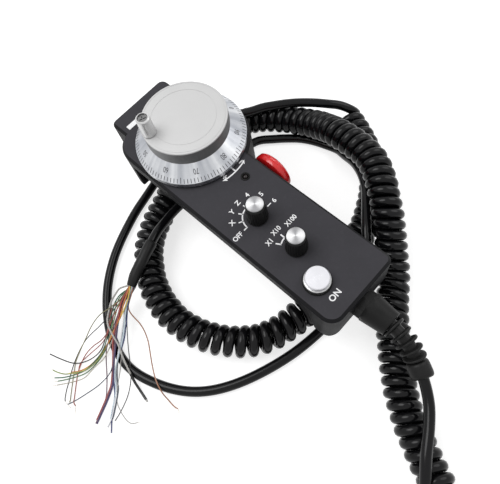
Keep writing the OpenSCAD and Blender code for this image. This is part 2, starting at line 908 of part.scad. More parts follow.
// the ribbed bend relief: places along it, and the radius at each
relief_t = [0, 0.16, 0.18, 0.24, 0.26, 0.33, 0.35, 0.41, 0.43, 0.51,
    0.53, 0.59, 0.61, 0.69, 0.71, 0.77, 0.79, 0.86, 0.88, 0.94, 0.96, 1];
relief_r = [5.6, 5.6, 8.4, 8.4, 5.4, 5.4, 8.2, 8.2, 5.2, 5.2,
    8, 8, 5, 5, 7.6, 7.6, 5, 5, 7.4, 7.4, 5, 5];

module bend_relief() {
    color([0.06, 0.06, 0.06])
        tube([for (t = relief_t) bend(relief_route, t)], relief_r, 12);
}

module relief_collar() {
    a = on_floor(relief_route[2]);
    d = unit(lead_route[1] - relief_route[2]);
    color([0.06, 0.06, 0.06]) translate(a)
        rotate([0, acos(d[2]), atan2(d[1], d[0])]) {
            difference() {
                cylinder(h = 7, r = 6.6);
                translate([0, 0, 2]) cylinder(h = 6, r = cord_r);
            }
            translate([-2, 5.8, 0.5]) cube([4, 2.8, 6]);
        }
}

module cord_lead() {
    color([0.05, 0.05, 0.05]) even_tube(lead_route, cord_r, 8);
}

module coil_near() {
    color([0.05, 0.05, 0.05]) even_tube(near_route, coil_d / 2, 12);
}

module coil_far() {
    color([0.05, 0.05, 0.05]) even_tube(far_route, coil_d / 2, 12);
}

module cord_tail() {
    color([0.05, 0.05, 0.05]) even_tube(tail_route, cord_r, 8);
}

module tail_sleeve() {
    color([0.08, 0.08, 0.08]) even_tube(sleeve_route, sleeve_d / 2, 12);
}

module wires_down() {
    color([0.3, 0.28, 0.35]) even_tube(down_route, bundle_d / 2, 8);
}

module wires_left() {
    color([0.35, 0.4, 0.3]) even_tube(left_route, bundle_d / 2, 8);
}

module wire_right() {
    color([0.5, 0.3, 0.2]) even_tube(right_route, wire_d / 2, 8);
}

// ---------- one line for each node ----------
at_wheel() front_shell();
at_wheel() rear_shell();
at_wheel() housing_screws();
at_wheel() label_strip();
at_wheel() encoder_flange();
at_wheel() encoder_body();
at_wheel() encoder_screws();
at_wheel() spindle_bearings();
at_wheel() terminal_board();
at_wheel() axis_switch_body();
at_wheel() axis_switch_nut();
at_wheel() multiplier_switch_body();
at_wheel() multiplier_switch_nut();
at_wheel() button_gasket();
at_wheel() button_bezel();
at_wheel() button_nut();
at_wheel() button_block();
at_wheel() lamp_bezel();
at_wheel() lamp_lens();
at_wheel() stop_collar();
at_wheel() stop_nut();
at_wheel() stop_block();
at_wheel() gland_body();
at_wheel() gland_cap();
at_wheel() gland_nut();
bend_relief();
relief_collar();
cord_lead();
coil_near();
coil_far();
cord_tail();
tail_sleeve();
wires_down();
wires_left();
wire_right();
at_wheel() dial_ring();
at_wheel() knob_body();
at_wheel() top_disc();
at_wheel() spindle();
at_wheel() hub_nut();
at_wheel() code_disc();
at_wheel() crank_pin();
at_wheel() crank_grip();
at_wheel() axis_knob();
at_wheel() axis_knob_cap();
at_wheel() axis_shaft();
at_wheel() multiplier_knob();
at_wheel() multiplier_knob_cap();
at_wheel() multiplier_shaft();
at_wheel() button_cap();
at_wheel() button_plunger();
at_wheel() stop_stem();
at_wheel() stop_head();
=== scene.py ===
"""Dresses the pulse generator handwheel: materials, printing, dial scale, curly cord and loose wires."""
import math

import bmesh
import bpy
import numpy as np
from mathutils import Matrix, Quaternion, Vector


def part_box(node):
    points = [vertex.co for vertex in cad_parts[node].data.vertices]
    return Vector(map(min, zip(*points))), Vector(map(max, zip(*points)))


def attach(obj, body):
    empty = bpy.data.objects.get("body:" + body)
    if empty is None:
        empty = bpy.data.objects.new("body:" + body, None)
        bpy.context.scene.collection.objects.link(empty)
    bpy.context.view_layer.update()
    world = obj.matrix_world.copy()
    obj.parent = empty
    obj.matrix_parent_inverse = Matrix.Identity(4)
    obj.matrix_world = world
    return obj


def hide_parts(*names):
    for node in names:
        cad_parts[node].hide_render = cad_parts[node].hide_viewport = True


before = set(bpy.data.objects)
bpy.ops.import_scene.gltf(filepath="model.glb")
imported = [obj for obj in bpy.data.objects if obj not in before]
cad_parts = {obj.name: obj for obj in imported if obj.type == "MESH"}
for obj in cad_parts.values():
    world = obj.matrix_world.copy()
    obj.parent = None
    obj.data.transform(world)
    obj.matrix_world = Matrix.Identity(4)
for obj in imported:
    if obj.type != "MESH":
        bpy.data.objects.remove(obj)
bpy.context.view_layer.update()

MM = 0.001
TABLE_Z = -64.3 * MM
LYING = 0.8  # height of a thin wire's middle where it lies on the table, in millimetres
SHARP_ANGLE = math.radians(38)


# ---------------------------------------------------------------- places
def middle(node):
    low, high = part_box(node)
    return (low + high) / 2


WHEEL = middle("dial_ring")
FACE_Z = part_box("front_shell")[1].z


def on_face(x, y, z=0.0):
    """A point in millimetres from the wheel axis and the control face, in metres in the shared frame."""
    return Vector((WHEEL.x + x * MM, WHEEL.y + y * MM, FACE_Z + z * MM))


def on_table(x, y, h=LYING):
    """A route point in millimetres, its height measured from the table."""
    return Vector((x * MM, y * MM, TABLE_Z + h * MM))


def placed(name, data):
    obj = bpy.data.objects.new(name, data)
    bpy.context.collection.objects.link(obj)
    return obj


# ---------------------------------------------------------------- camera
camera_data = bpy.data.cameras.new("camera")
camera = placed("camera", camera_data)
camera.location = (-0.10221, -0.13708, 0.28836)
camera.rotation_mode = "QUATERNION"
camera.rotation_quaternion = Quaternion((0.89078, 0.21018, -0.02833, -0.40192))
camera_data.sensor_width = 36
camera_data.lens = 36
camera_data.clip_start = 0.01
bpy.context.scene.camera = camera


# ---------------------------------------------------------------- shader groups
def new_group(name, inputs):
    """A shader group with these inputs, and colour, roughness and normal coming out."""
    group = bpy.data.node_groups.new(name, "ShaderNodeTree")
    for label, kind, value in inputs:
        socket = group.interface.new_socket(label, in_out="INPUT", socket_type=f"NodeSocket{kind}")
        socket.default_value = value
    for label, kind in (("Colour", "Color"), ("Roughness", "Float"), ("Normal", "Vector")):
        group.interface.new_socket(label, in_out="OUTPUT", socket_type=f"NodeSocket{kind}")
    return group, group.nodes.new("NodeGroupInput"), group.nodes.new("NodeGroupOutput")


def wire(tree, *pairs):
    for a, b in pairs:
        tree.links.new(a, b)


def feed(tree, socket, value):
    """Sets a socket to a value, or links it to another node's output."""
    if hasattr(value, "is_output"):
        tree.links.new(value, socket)
    elif value is not None:
        socket.default_value = value


def fed_node(tree, kind, values):
    node = tree.nodes.new(kind)
    for label, value in values.items():
        feed(tree, node.inputs[label], value)
    return node


def math_node(tree, operation, a, b=None, clamp=False):
    node = fed_node(tree, "ShaderNodeMath", {0: a, 1: b})
    node.operation = operation
    node.use_clamp = clamp
    return node.outputs[0]


def noise_node(tree, vector, scale, detail, rough=0.55):
    return fed_node(tree, "ShaderNodeTexNoise", {
        "Vector": vector, "Scale": scale, "Detail": detail, "Roughness": rough}).outputs["Fac"]


def spread(tree, value, low, high):
    return fed_node(tree, "ShaderNodeMapRange", {
        "Value": value, "From Min": 0.3, "From Max": 0.7, "To Min": low, "To Max": high}).outputs["Result"]


def mix_colour(tree, factor, a, b):
    node = tree.nodes.new("ShaderNodeMix")
    node.data_type = "RGBA"
    for index, value in ((0, factor), (6, a), (7, b)):
        feed(tree, node.inputs[index], value)
    return node.outputs[2]


def bump_node(tree, height, strength, distance):
    return fed_node(tree, "ShaderNodeBump", {
        "Height": height, "Strength": strength, "Distance": distance}).outputs["Normal"]


def moulded_group():
    """Moulded or sprayed surface: fine grain, soft clouding, and scuffs that catch the light."""
    group, source, sink = new_group(
        "moulded_surface",
        [("Colour", "Color", (0.1, 0.1, 0.1, 1)), ("Scuff Colour", "Color", (0.2, 0.2, 0.2, 1)),
         ("Grain Scale", "Float", 2500.0), ("Grain Depth", "Float", 0.2),
         ("Scuffs", "Float", 0.2), ("Roughness", "Float", 0.5)])
    place = group.nodes.new("ShaderNodeTexCoord").outputs["Object"]
    grain = noise_node(group, place, source.outputs["Grain Scale"], 2.0)
    cloud = noise_node(group, place, 45.0, 3.0)
    scuff = noise_node(group, place, 420.0, 5.0, 0.7)
    mask = math_node(group, "MULTIPLY", spread(group, scuff, -1.2, 1.0), source.outputs["Scuffs"], clamp=True)
    tone = mix_colour(group, spread(group, cloud, 0.0, 0.35), source.outputs["Colour"],
                      source.outputs["Scuff Colour"])
    rough = math_node(group, "ADD", source.outputs["Roughness"], spread(group, cloud, -0.05, 0.06))
    wire(group, (mix_colour(group, mask, tone, source.outputs["Scuff Colour"]), sink.inputs["Colour"]),
         (rough, sink.inputs["Roughness"]),
         (bump_node(group, grain, source.outputs["Grain Depth"], 0.00012), sink.inputs["Normal"]))
    return group


def turned_group():
    """Metal turned on a lathe: fine rings round an axis through Centre, soft random clouding, and painted
    reflections that darken it towards the dark colour: streaks that change with direction round the axis, and
    a bow-tie sheen, lighter along a given direction and darker across it.
    """
    group, source, sink = new_group(
        "turned_metal",
        [("Colour", "Color", (0.8, 0.8, 0.8, 1)), ("Dark Colour", "Color", (0.6, 0.6, 0.6, 1)),
         ("Centre", "Vector", (0.0, 0.0, 0.0)), ("Rings", "Float", 9000.0), ("Ring Depth", "Float", 0.3),
         # the last three inputs set painted reflection streaks and a painted bow-tie sheen
         ("Roughness", "Float", 0.3), ("Streaks", "Float", 0.0), ("Painted Bow Tie Sheen", "Float", 0.0),
         ("Painted Sheen Direction", "Vector", (0.7, -0.7, 0.0))])
    place = group.nodes.new("ShaderNodeTexCoord").outputs["Object"]
    shift = group.nodes.new("ShaderNodeVectorMath")
    shift.operation = "SUBTRACT"
    wire(group, (place, shift.inputs[0]), (source.outputs["Centre"], shift.inputs[1]))
    parts = group.nodes.new("ShaderNodeSeparateXYZ")
    group.links.new(shift.outputs[0], parts.inputs[0])
    squares = math_node(group, "ADD", math_node(group, "MULTIPLY", parts.outputs[0], parts.outputs[0]),
                        math_node(group, "MULTIPLY", parts.outputs[1], parts.outputs[1]))
    radius = math_node(group, "SQRT", squares)
    row = group.nodes.new("ShaderNodeCombineXYZ")
    wire(group, (math_node(group, "MULTIPLY", radius, source.outputs["Rings"]), row.inputs[0]),
         (math_node(group, "MULTIPLY", parts.outputs[2], source.outputs["Rings"]), row.inputs[1]))
    rings = noise_node(group, row.outputs[0], 1.0, 2.0)
    cloud = noise_node(group, place, 70.0, 3.0)
    flat = group.nodes.new("ShaderNodeCombineXYZ")
    wire(group, (parts.outputs[0], flat.inputs[0]), (parts.outputs[1], flat.inputs[1]))
    outward = group.nodes.new("ShaderNodeVectorMath")
    outward.operation = "NORMALIZE"
    group.links.new(flat.outputs[0], outward.inputs[0])
    # painted reflection streaks: the colour darkens by a noise of the direction round the axis
    reflection_patches = spread(group, noise_node(group, outward.outputs[0], 3.2, 3.0), 0.0, 1.0)
    painted_streak = math_node(group, "MULTIPLY", reflection_patches, source.outputs["Streaks"])
    # painted bow-tie reflection: lighter along the sheen direction, darker across it
    lobes = group.nodes.new("ShaderNodeVectorMath")
    lobes.operation = "DOT_PRODUCT"
    wire(group, (outward.outputs[0], lobes.inputs[0]), (source.outputs["Painted Sheen Direction"], lobes.inputs[1]))
    squared = math_node(group, "MULTIPLY", lobes.outputs["Value"], lobes.outputs["Value"])
    painted_sheen = math_node(group, "MULTIPLY", math_node(group, "SUBTRACT", 1.0, squared), source.outputs["Painted Bow Tie Sheen"])
    # the painted reflections and the random clouding together set how far the colour goes to the dark colour
    reflections_and_cloud = math_node(group, "ADD", math_node(group, "ADD", painted_streak, painted_sheen),
                      spread(group, cloud, 0.0, 0.3), clamp=True)
    tone = mix_colour(group, reflections_and_cloud, source.outputs["Colour"], source.outputs["Dark Colour"])
    rough = math_node(group, "ADD", source.outputs["Roughness"], spread(group, rings, -0.05, 0.06))
    wire(group, (tone, sink.inputs["Colour"]), (rough, sink.inputs["Roughness"]),
         (bump_node(group, rings, source.outputs["Ring Depth"], 0.00005), sink.inputs["Normal"]))
    return group


MOULDED = moulded_group()
TURNED = turned_group()


def finish_material(name, group, values, metallic=0.0, coat=0.0, specular=0.5, anisotropic=0.0):
    material = bpy.data.materials.new(name)
    material.use_nodes = True
    tree = material.node_tree
    shader = tree.nodes["Principled BSDF"]
    shader.inputs["Metallic"].default_value = metallic
    shader.inputs["Coat Weight"].default_value = coat
    shader.inputs["Coat Roughness"].default_value = 0.12
    shader.inputs["Specular IOR Level"].default_value = specular
    shader.inputs["Anisotropic"].default_value = anisotropic
    node = tree.nodes.new("ShaderNodeGroup")
    node.node_tree = group
    for label, value in values.items():
        if isinstance(value, (tuple, list)) and len(value) == 3 and "Colour" in label:
            value = (*value, 1.0)
        node.inputs[label].default_value = value
    wire(tree, (node.outputs["Colour"], shader.inputs["Base Color"]),
         (node.outputs["Roughness"], shader.inputs["Roughness"]),
         (node.outputs["Normal"], shader.inputs["Normal"]))
    return material


def moulded(name, colour, scuff, grain, depth, scuffs, rough, **rest):
    return finish_material(name, MOULDED, {
        "Colour": colour, "Scuff Colour": scuff, "Grain Scale": grain, "Grain Depth": depth,
        "Scuffs": scuffs, "Roughness": rough}, **rest)


# the last two numbers set the strength of the painted reflection streaks and the painted bow-tie sheen
def turned(name, colour, dark, centre, rings, depth, rough, reflection_streaks=0.0, painted_sheen=0.0, **rest):
    return finish_material(name, TURNED, {
        "Colour": colour, "Dark Colour": dark, "Centre": tuple(centre), "Rings": rings,
        "Ring Depth": depth, "Roughness": rough, "Streaks": reflection_streaks, "Painted Bow Tie Sheen": painted_sheen},
        metallic=rest.pop("metallic", 1.0), **rest)


def faces_out(material, face_colour, side_colour):
    """One colour on what faces straight out of the control face, another on all other sides."""
    tree = material.node_tree
    group = next(node for node in tree.nodes if node.type == "GROUP")
    parts = tree.nodes.new("ShaderNodeSeparateXYZ")
    tree.links.new(tree.nodes.new("ShaderNodeTexCoord").outputs["Normal"], parts.inputs[0])
    mask = tree.nodes.new("ShaderNodeMapRange")
    mask.inputs["From Min"].default_value = 0.8
    mask.inputs["From Max"].default_value = 0.97
    tree.links.new(parts.outputs[2], mask.inputs["Value"])
    for label, gain in (("Colour", 1.0), ("Scuff Colour", 1.6)):
        low, high = (tuple(c * gain for c in colour) + (1.0,) for colour in (side_colour, face_colour))
        tree.links.new(mix_colour(tree, mask.outputs["Result"], low, high), group.inputs[label])
    return material


def grey(level):
    return level, level, level


panel_paint = faces_out(
    moulded("charcoal_panel", grey(0.03), grey(0.05), 2600, 0.35, 0.25, 0.55, specular=0.14),
    (0.034, 0.033, 0.038), (0.005, 0.005, 0.006))
black_plastic = moulded("black_plastic", grey(0.006), grey(0.02), 2200, 0.25, 0.2, 0.45, specular=0.14)
cord_rubber = moulded("cord_rubber", (0.003, 0.003, 0.0035), (0.009, 0.009, 0.01), 1500, 0.1, 0.1, 0.17,
                      specular=0.2)
relief_rubber = moulded("relief_rubber", grey(0.006), grey(0.02), 1900, 0.3, 0.2, 0.42, specular=0.18)
gasket_rubber = moulded("gasket_rubber", grey(0.004), grey(0.01), 1900, 0.3, 0.1, 0.7, specular=0.15)
knob_black = moulded("knob_black", grey(0.005), grey(0.02), 2400, 0.2, 0.3, 0.4, specular=0.2)
drum_grey = moulded("drum_grey", (0.15, 0.15, 0.152), grey(0.25), 3000, 0.4, 0.4, 0.45, metallic=0.6)
stop_red = moulded("stop_red", (0.6, 0.006, 0.008), (0.66, 0.03, 0.03), 900, 0.08, 0.15, 0.26, coat=0.3)
print_white = moulded("print_white", (0.86, 0.86, 0.87), (0.76, 0.76, 0.77), 3000, 0.2, 0.3, 0.55)
scale_grey = moulded("scale_grey", (0.045, 0.045, 0.05), (0.1, 0.1, 0.11), 3000, 0.2, 0.4, 0.5)
steel = moulded("zinc_steel", (0.5, 0.5, 0.51), (0.35, 0.35, 0.36), 1800, 0.2, 0.3, 0.35, metallic=1.0)
dark_steel = moulded("dark_steel", grey(0.2), grey(0.12), 1800, 0.2, 0.3, 0.4, metallic=1.0)
dark_metal = moulded("dark_metal", (0.05, 0.05, 0.055), grey(0.1), 1800, 0.2, 0.3, 0.45, metallic=0.5)
board_green = moulded("board_green", (0.02, 0.16, 0.06), (0.05, 0.22, 0.1), 1200, 0.1, 0.3, 0.4)
white_plastic = moulded("white_plastic", (0.8, 0.8, 0.78), (0.7, 0.7, 0.68), 1500, 0.1, 0.2, 0.4)
lamp_smoke = moulded("lamp_smoke", (0.008, 0.005, 0.005), (0.02, 0.012, 0.012), 1200, 0.05, 0.1, 0.25,
                     specular=0.3)
# dial cone: painted reflection streaks round the axis, darkening the silver towards a bluish grey
dial_silver = turned("dial_silver", (0.86, 0.87, 0.885), (0.38, 0.395, 0.43), WHEEL, 7000, 0.4, 0.32,
                     reflection_streaks=1.0)
disc_satin = turned("disc_satin", grey(0.54), grey(0.48), WHEEL, 5000, 0.12, 0.5, metallic=0.3)
# knob caps, button and crank grip: a painted bow-tie reflection of spun metal, its strength given by the last
# number of each row
cap_metal = {
    node: turned(f"{node}_metal", bright, dark, middle(node), 6500, 0.5, 0.3, painted_sheen=painted_sheen)
    for node, bright, dark, painted_sheen in (
        ("axis_knob_cap", (0.8, 0.8, 0.81), (0.3, 0.3, 0.31), 0.9),
        ("multiplier_knob_cap", (0.8, 0.8, 0.81), (0.3, 0.3, 0.31), 0.9),
        ("button_cap", (0.64, 0.64, 0.67), (0.56, 0.56, 0.59), 0.1),
        ("button_bezel", grey(0.6), grey(0.45), 0.3),
        ("crank_grip", grey(0.62), grey(0.5), 0.3))}
code_glass = moulded("code_glass", (0.5, 0.55, 0.58), (0.4, 0.45, 0.5), 800, 0.05, 0.1, 0.2)

MATERIAL_NODES = (
    (panel_paint, "front_shell rear_shell"),
    (print_white, "label_strip"),
    (black_plastic, "encoder_flange button_block lamp_bezel stop_collar stop_nut stop_block gland_body "
                    "gland_cap gland_nut"),
    (dark_metal, "encoder_body axis_switch_body multiplier_switch_body"),
    (steel, "housing_screws encoder_screws spindle_bearings axis_switch_nut multiplier_switch_nut button_nut "
            "spindle hub_nut axis_shaft multiplier_shaft stop_stem"),
    (board_green, "terminal_board"), (gasket_rubber, "button_gasket"), (lamp_smoke, "lamp_lens"),
    (dial_silver, "dial_ring"), (drum_grey, "knob_body"), (disc_satin, "top_disc"), (code_glass, "code_disc"),
    (knob_black, "axis_knob multiplier_knob"), (white_plastic, "button_plunger"), (stop_red, "stop_head"),
    (dark_steel, "crank_pin")) + tuple((material, node) for node, material in cap_metal.items())


def paint(obj, material):
    obj.data.materials.clear()
    obj.data.materials.append(material)


for material, nodes in MATERIAL_NODES:
    for node in nodes.split():
        paint(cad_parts[node], material)


# ---------------------------------------------------------------- mesh helpers
def plain_mesh(name, verts, faces):
    mesh = bpy.data.meshes.new(name)
    mesh.from_pydata([tuple(v) for v in verts], [], faces)
    return mesh


def add_mesh(name, verts, faces, material, body, slot, smooth=True):
    mesh = plain_mesh(name, verts, faces)
    mesh.validate()
    obj = placed(name, mesh)
    mesh.materials.append(material)
    if smooth:
        mesh.polygons.foreach_set("use_smooth", [True] * len(mesh.polygons))
        mesh.set_sharp_from_angle(angle=SHARP_ANGLE)
    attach(obj, body)
    return obj


def smooth_route(points, step):
    """Points close together on one smooth curve through a route, spaced evenly."""
    route = np.array([tuple(p) for p in points])
    padded = np.vstack([2 * route[0] - route[1], route, 2 * route[-1] - route[-2]])
    fine = []
    for i in range(1, len(padded) - 2):
        p0, p1, p2, p3 = padded[i - 1:i + 3]
        t0, t1 = 0.0, np.linalg.norm(p1 - p0) ** 0.5
        t2 = t1 + np.linalg.norm(p2 - p1) ** 0.5
        t3 = t2 + np.linalg.norm(p3 - p2) ** 0.5
        for t in np.linspace(t1, t2, 24, endpoint=False):
            a1 = (t1 - t) / (t1 - t0) * p0 + (t - t0) / (t1 - t0) * p1
            a2 = (t2 - t) / (t2 - t1) * p1 + (t - t1) / (t2 - t1) * p2
            a3 = (t3 - t) / (t3 - t2) * p2 + (t - t2) / (t3 - t2) * p3
            b1 = (t2 - t) / (t2 - t0) * a1 + (t - t0) / (t2 - t0) * a2
            b2 = (t3 - t) / (t3 - t1) * a2 + (t - t1) / (t3 - t1) * a3
            fine.append((t2 - t) / (t2 - t1) * b1 + (t - t1) / (t2 - t1) * b2)
    fine.append(route[-1])
    fine = np.array(fine)
    along = np.concatenate([[0], np.cumsum(np.linalg.norm(np.diff(fine, axis=0), axis=1))])
    count = max(2, int(round(along[-1] / step)) + 1)
    at = np.linspace(0, along[-1], count)
    return np.stack([np.interp(at, along, fine[:, k]) for k in range(3)], axis=1)


def frames(line):
    """Directions along a line, and two sideways directions carried along it without twist."""
    ahead = np.gradient(line, axis=0)
    ahead /= np.linalg.norm(ahead, axis=1)[:, None]
    side = np.cross(ahead[0], (0.0, 0.0, 1.0))
    side /= np.linalg.norm(side)
    sides = [side]
    for tangent in ahead[1:]:
        side = sides[-1] - tangent * np.dot(sides[-1], tangent)
        sides.append(side / np.linalg.norm(side))
    sides = np.array(sides)
    return ahead, sides, np.cross(ahead, sides)


def tube(name, line, radii, sides, material, body, slot):
    """A closed round tube along a line, with a radius for each point."""
    line = np.array(line)
    radii = np.broadcast_to(radii, len(line))
    _, across, up = frames(line)
    verts, faces = [], []
    for i, point in enumerate(line):
        for k in range(sides):
            a = 2 * math.pi * k / sides
            verts.append(point + radii[i] * (math.cos(a) * across[i] + math.sin(a) * up[i]))
    for i in range(len(line) - 1):
        for k in range(sides):
            n = (k + 1) % sides
            faces.append((i * sides + k, i * sides + n, (i + 1) * sides + n, (i + 1) * sides + k))
    verts += [line[0], line[-1]]
    first, last, top = len(verts) - 2, len(verts) - 1, (len(line) - 1) * sides
    for k in range(sides):
        n = (k + 1) % sides
        faces += [(first, n, k), (last, top + k, top + n)]
    return add_mesh(name, verts, faces, material, body, slot)


def lathe(name, profile, centre, material, body, slot, sides, axis):
    """A turned solid: profile of (radius, height) in millimetres, closed on the axis or back to its start."""
    verts, faces = [], []
    for k in range(sides):
        a = 2 * math.pi * k / sides
        for r, h in profile:
            offset = Vector((r * math.cos(a), r * math.sin(a), h)) * MM
            if axis == "X":
                offset = Vector((offset.z, offset.y, -offset.x))
            verts.append(Vector(centre) + offset)
    n = len(profile)
    for k in range(sides):
        m = (k + 1) % sides
        for j in range(n):
            i = (j + 1) % n
            if profile[j][0] == 0 and profile[i][0] == 0:
                continue
            faces.append((k * n + j, m * n + j, m * n + i, k * n + i))
    obj = add_mesh(name, verts, faces, material, body, slot)
    tidy_normals(obj)
    return obj


def tidy_normals(obj):
    bm = bmesh.new()
    bm.from_mesh(obj.data)
    bmesh.ops.remove_doubles(bm, verts=bm.verts, dist=1e-7)
    bmesh.ops.dissolve_degenerate(bm, dist=1e-8, edges=bm.edges)
    bmesh.ops.recalc_face_normals(bm, faces=bm.faces)
    bm.to_mesh(obj.data)
    bm.free()
    obj.data.set_sharp_from_angle(angle=SHARP_ANGLE)


# ---------------------------------------------------------------- cord
LEAD = [
    (-19.5, -148.5, 35), (-22, -153.5, 33.4), (-26.5, -160, 31.6), (-33.5, -167.5, 30), (-44, -175, 28.5),
    (-57, -182.5, 27.5), (-68, -190.5, 24), (-80, -199.5, 14), (-95.5, -206.5, 5), (-113, -209.5, 3.3),
    (-129, -218, 3.3), (-137, -234, 3.3), (-131, -251, 3.3), (-113, -260.5, 3.6), (-95, -256, 6.2),
    (-80, -239, 10), (-70.5, -214.5, 11.5)]
COIL = [
    (-70.5, -214.5, 11.5), (-54.5, -181.5, 11.5), (-37.5, -155, 11.5), (-10.5, -128, 11.5),
    (8.5, -113, 11.5), (23, -103, 14), (34.5, -92, 21), (55.5, -68.5, 37), (76.5, -40.5, 40),
    (83.5, -4.5, 34), (86.5, 16.5, 23), (84, 34.5, 16), (77.5, 51.5, 12.5), (62.5, 69.5, 11.5),
    (39.5, 79, 11.5), (2.5, 79, 11.5), (-31.5, 71, 11.5), (-70.5, 53.5, 11.5), (-92.5, 24.5, 11.5),
    (-98.5, -7.5, 11.5), (-89, -38, 11.5), (-68, -61, 11.5), (-34.5, -70.5, 11.5), (12.5, -68.5, 11.5),
    (53, -58.5, 11.5), (83, -40.5, 11.5), (104, -11.5, 11.5), (112.5, 8, 11.5)]
TAIL = [
    (112.5, 8, 11.5), (116.5, 7.5, 18.5), (110.8, 15, 24.2), (104.4, 22.7, 26.6), (98.8, 31, 27.2),
    (91.7, 40.6, 27.2), (84.1, 48.9, 27.2), (76, 56.2, 27.2), (70, 61.3, 27.1), (61.4, 66.5, 27),
    (51, 75, 26.6), (46, 87, 24.5), (40, 96, 15), (27, 100, 6), (8, 100.5, 3.3), (-14, 98.5, 3.3),
    (-42, 92, 3.3), (-63.5, 86, 3.3), (-96, 71.5, 3.3), (-120, 52.5, 3.3), (-138.5, 26, 3.3),
    (-145, 0.5, 3.3), (-139.5, -24.5, 3.3), (-125.5, -48.5, 3.3), (-103.5, -66, 3.3), (-60.5, -82.5, 3.3),
    (-15.5, -87.5, 3.6), (3, -85.5, 8), (13, -83, 16), (21, -79, 22), (29, -73.5, 25.5),
    (36.5, -67.5, 27.2), (45, -61, 27.2), (55.5, -53, 26.4), (63, -47, 25.4), (71.5, -37, 23.2),
    (79, -25, 17.5), (84, -12.5, 10), (87.5, -2, 5), (86, 8.5, 3.3), (82.5, 19.5, 3.3), (77.5, 29.5, 3.3),
    (71.5, 37.5, 3.3), (64, 46, 3.3), (53.5, 56, 3.3), (35, 60, 3.6), (10, 60, 6), (-10, 57.5, 11),
    (-32, 54.5, 19), (-42.1, 52.8, 22), (-52.1, 50.5, 24.3), (-61.1, 48.1, 26.2), (-70.3, 44.5, 27.5)]
SLEEVE = [
    (-70.3, 44.5, 27.5), (-78.4, 41.2, 28.2), (-85.8, 38.6, 27.5), (-94, 36.6, 25.4), (-103, 33.5, 22)]
CORD_R = 3.55 * MM
COIL_R = 11.5 * MM
LEAD_STEP, COIL_STEP, TAIL_STEP = 4 * MM, 0.5 * MM, 3 * MM
EASE_RUN = 14 * MM  # the coil's first turns open to full size over this length
# turn pitch in millimetres at each point of the coil's route
COIL_PITCH = [7.6, 7.4, 7.3, 7.3, 7.3, 7.2, 7.2, 7.2, 7.2, 7.2, 7.3, 7.5, 7.5, 7.5, 7.4, 7.4, 7.4, 7.4, 7.5,
              7.9, 8.1, 8.2, 8.1, 7.9, 7.6, 7.3, 7.2, 7.2]
TURN_POINTS = 18


def curly_line():
    """The cord's own centreline: smooth lead, left-handed helix round the coil's route, smooth tail."""
    route = smooth_route([on_table(x, y, max(h, CORD_R / MM)) for x, y, h in LEAD + COIL[1:]], COIL_STEP)
    along = np.concatenate([[0], np.cumsum(np.linalg.norm(np.diff(route, axis=0), axis=1))])
    places = [along[np.argmin(np.linalg.norm(route - np.array(on_table(*p)), axis=1))] for p in COIL]
    start = places[0]
    pitch = np.interp(along, places, np.array(COIL_PITCH) * MM)
    turns = np.concatenate([[0], np.cumsum(np.diff(along) / pitch[1:] * (along[1:] > start))])
    turns -= turns[-1]
    _, across, up = frames(route)
    line = [route[int(np.searchsorted(along, s))] for s in np.arange(0, start, LEAD_STEP)]
    first = turns[int(np.searchsorted(along, start))]
    for turn in np.linspace(first, 0.0, int(-first * TURN_POINTS)):
        i = int(np.clip(np.searchsorted(turns, turn, side="right"), 1, len(along) - 1))
        share = (turn - turns[i - 1]) / max(1e-9, turns[i] - turns[i - 1])
        point = route[i - 1] + min(1.0, max(0.0, share)) * (route[i] - route[i - 1])
        s = along[i]
        ease = min(1.0, max(0.0, (s - start) / EASE_RUN))
        ease = ease * ease * (3 - 2 * ease)
        wobble = 1 - 0.012 * (1 + math.sin(s * 310)) - 0.01 * (1 + math.sin(s * 173 + 1))
        angle = 2 * math.pi * turn
        outward = math.cos(angle) * across[i] - math.sin(angle) * up[i]
        line.append(point + (COIL_R - CORD_R) * ease * wobble * outward)
    tail = [on_table(x, y, max(h, CORD_R / MM)) for x, y, h in TAIL[1:] + SLEEVE[1:-1]]
    rest = smooth_route([line[-2], line[-1]] + tail, TAIL_STEP)
    line += [p for p in rest[2:] if np.linalg.norm(p - line[-1]) > MM]
    return np.array(line)


cord_line = curly_line()
main_cord = tube("curly_cord", cord_line, CORD_R, 12, cord_rubber, "pendant", "cord_rubber")
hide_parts("cord_lead", "coil_near", "coil_far", "cord_tail")

# ---------------------------------------------------------------- sleeve over the free end
sleeve_line = smooth_route([on_table(*p) for p in SLEEVE], 1.2 * MM)
SLEEVE_LIP, SLEEVE_MOUTH = 0.04, 0.8  # shares of the sleeve's length where its ends begin to close


def sleeve_radius(u):
    """The shrink sleeve's radius at a share of its length: rounded lip, slow taper, narrower mouth."""
    radius = 4.3 - 0.3 * u - 0.5 * max(0.0, u - SLEEVE_MOUTH) / (1 - SLEEVE_MOUTH)
    if u < SLEEVE_LIP:
        radius = 3.7 + 0.6 * (u / SLEEVE_LIP) ** 0.5
    return radius * MM * (1 + 0.015 * math.sin(u * 17))


sleeve_radii = np.array([sleeve_radius(u) for u in np.linspace(0, 1, len(sleeve_line))])
sleeve = tube("shrink_sleeve", sleeve_line, sleeve_radii, 24, relief_rubber, "pendant", "cord_rubber")
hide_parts("tail_sleeve")

# ---------------------------------------------------------------- bend relief
RELIEF_BEND = [(-12, -117, 43.3), (-13, -136.5, 44.5), (-18.5, -146.5, 35.6)]
RELIEF_CORE = 4.3  # radius between the ribs, in millimetres
RIB_HALF = 0.032  # half a rib's width, as a share of the bend
# each rib's middle as a share of the bend, and its radius in millimetres
RELIEF_RIBS = ((0.2, 7.8), (0.37, 7.7), (0.54, 7.6), (0.71, 7.5), (0.88, 7.4))


def bend(t):
    a, b, c = (np.array(on_table(*p)) for p in RELIEF_BEND)
    return (1 - t) ** 2 * a + 2 * t * (1 - t) * b + t * t * c


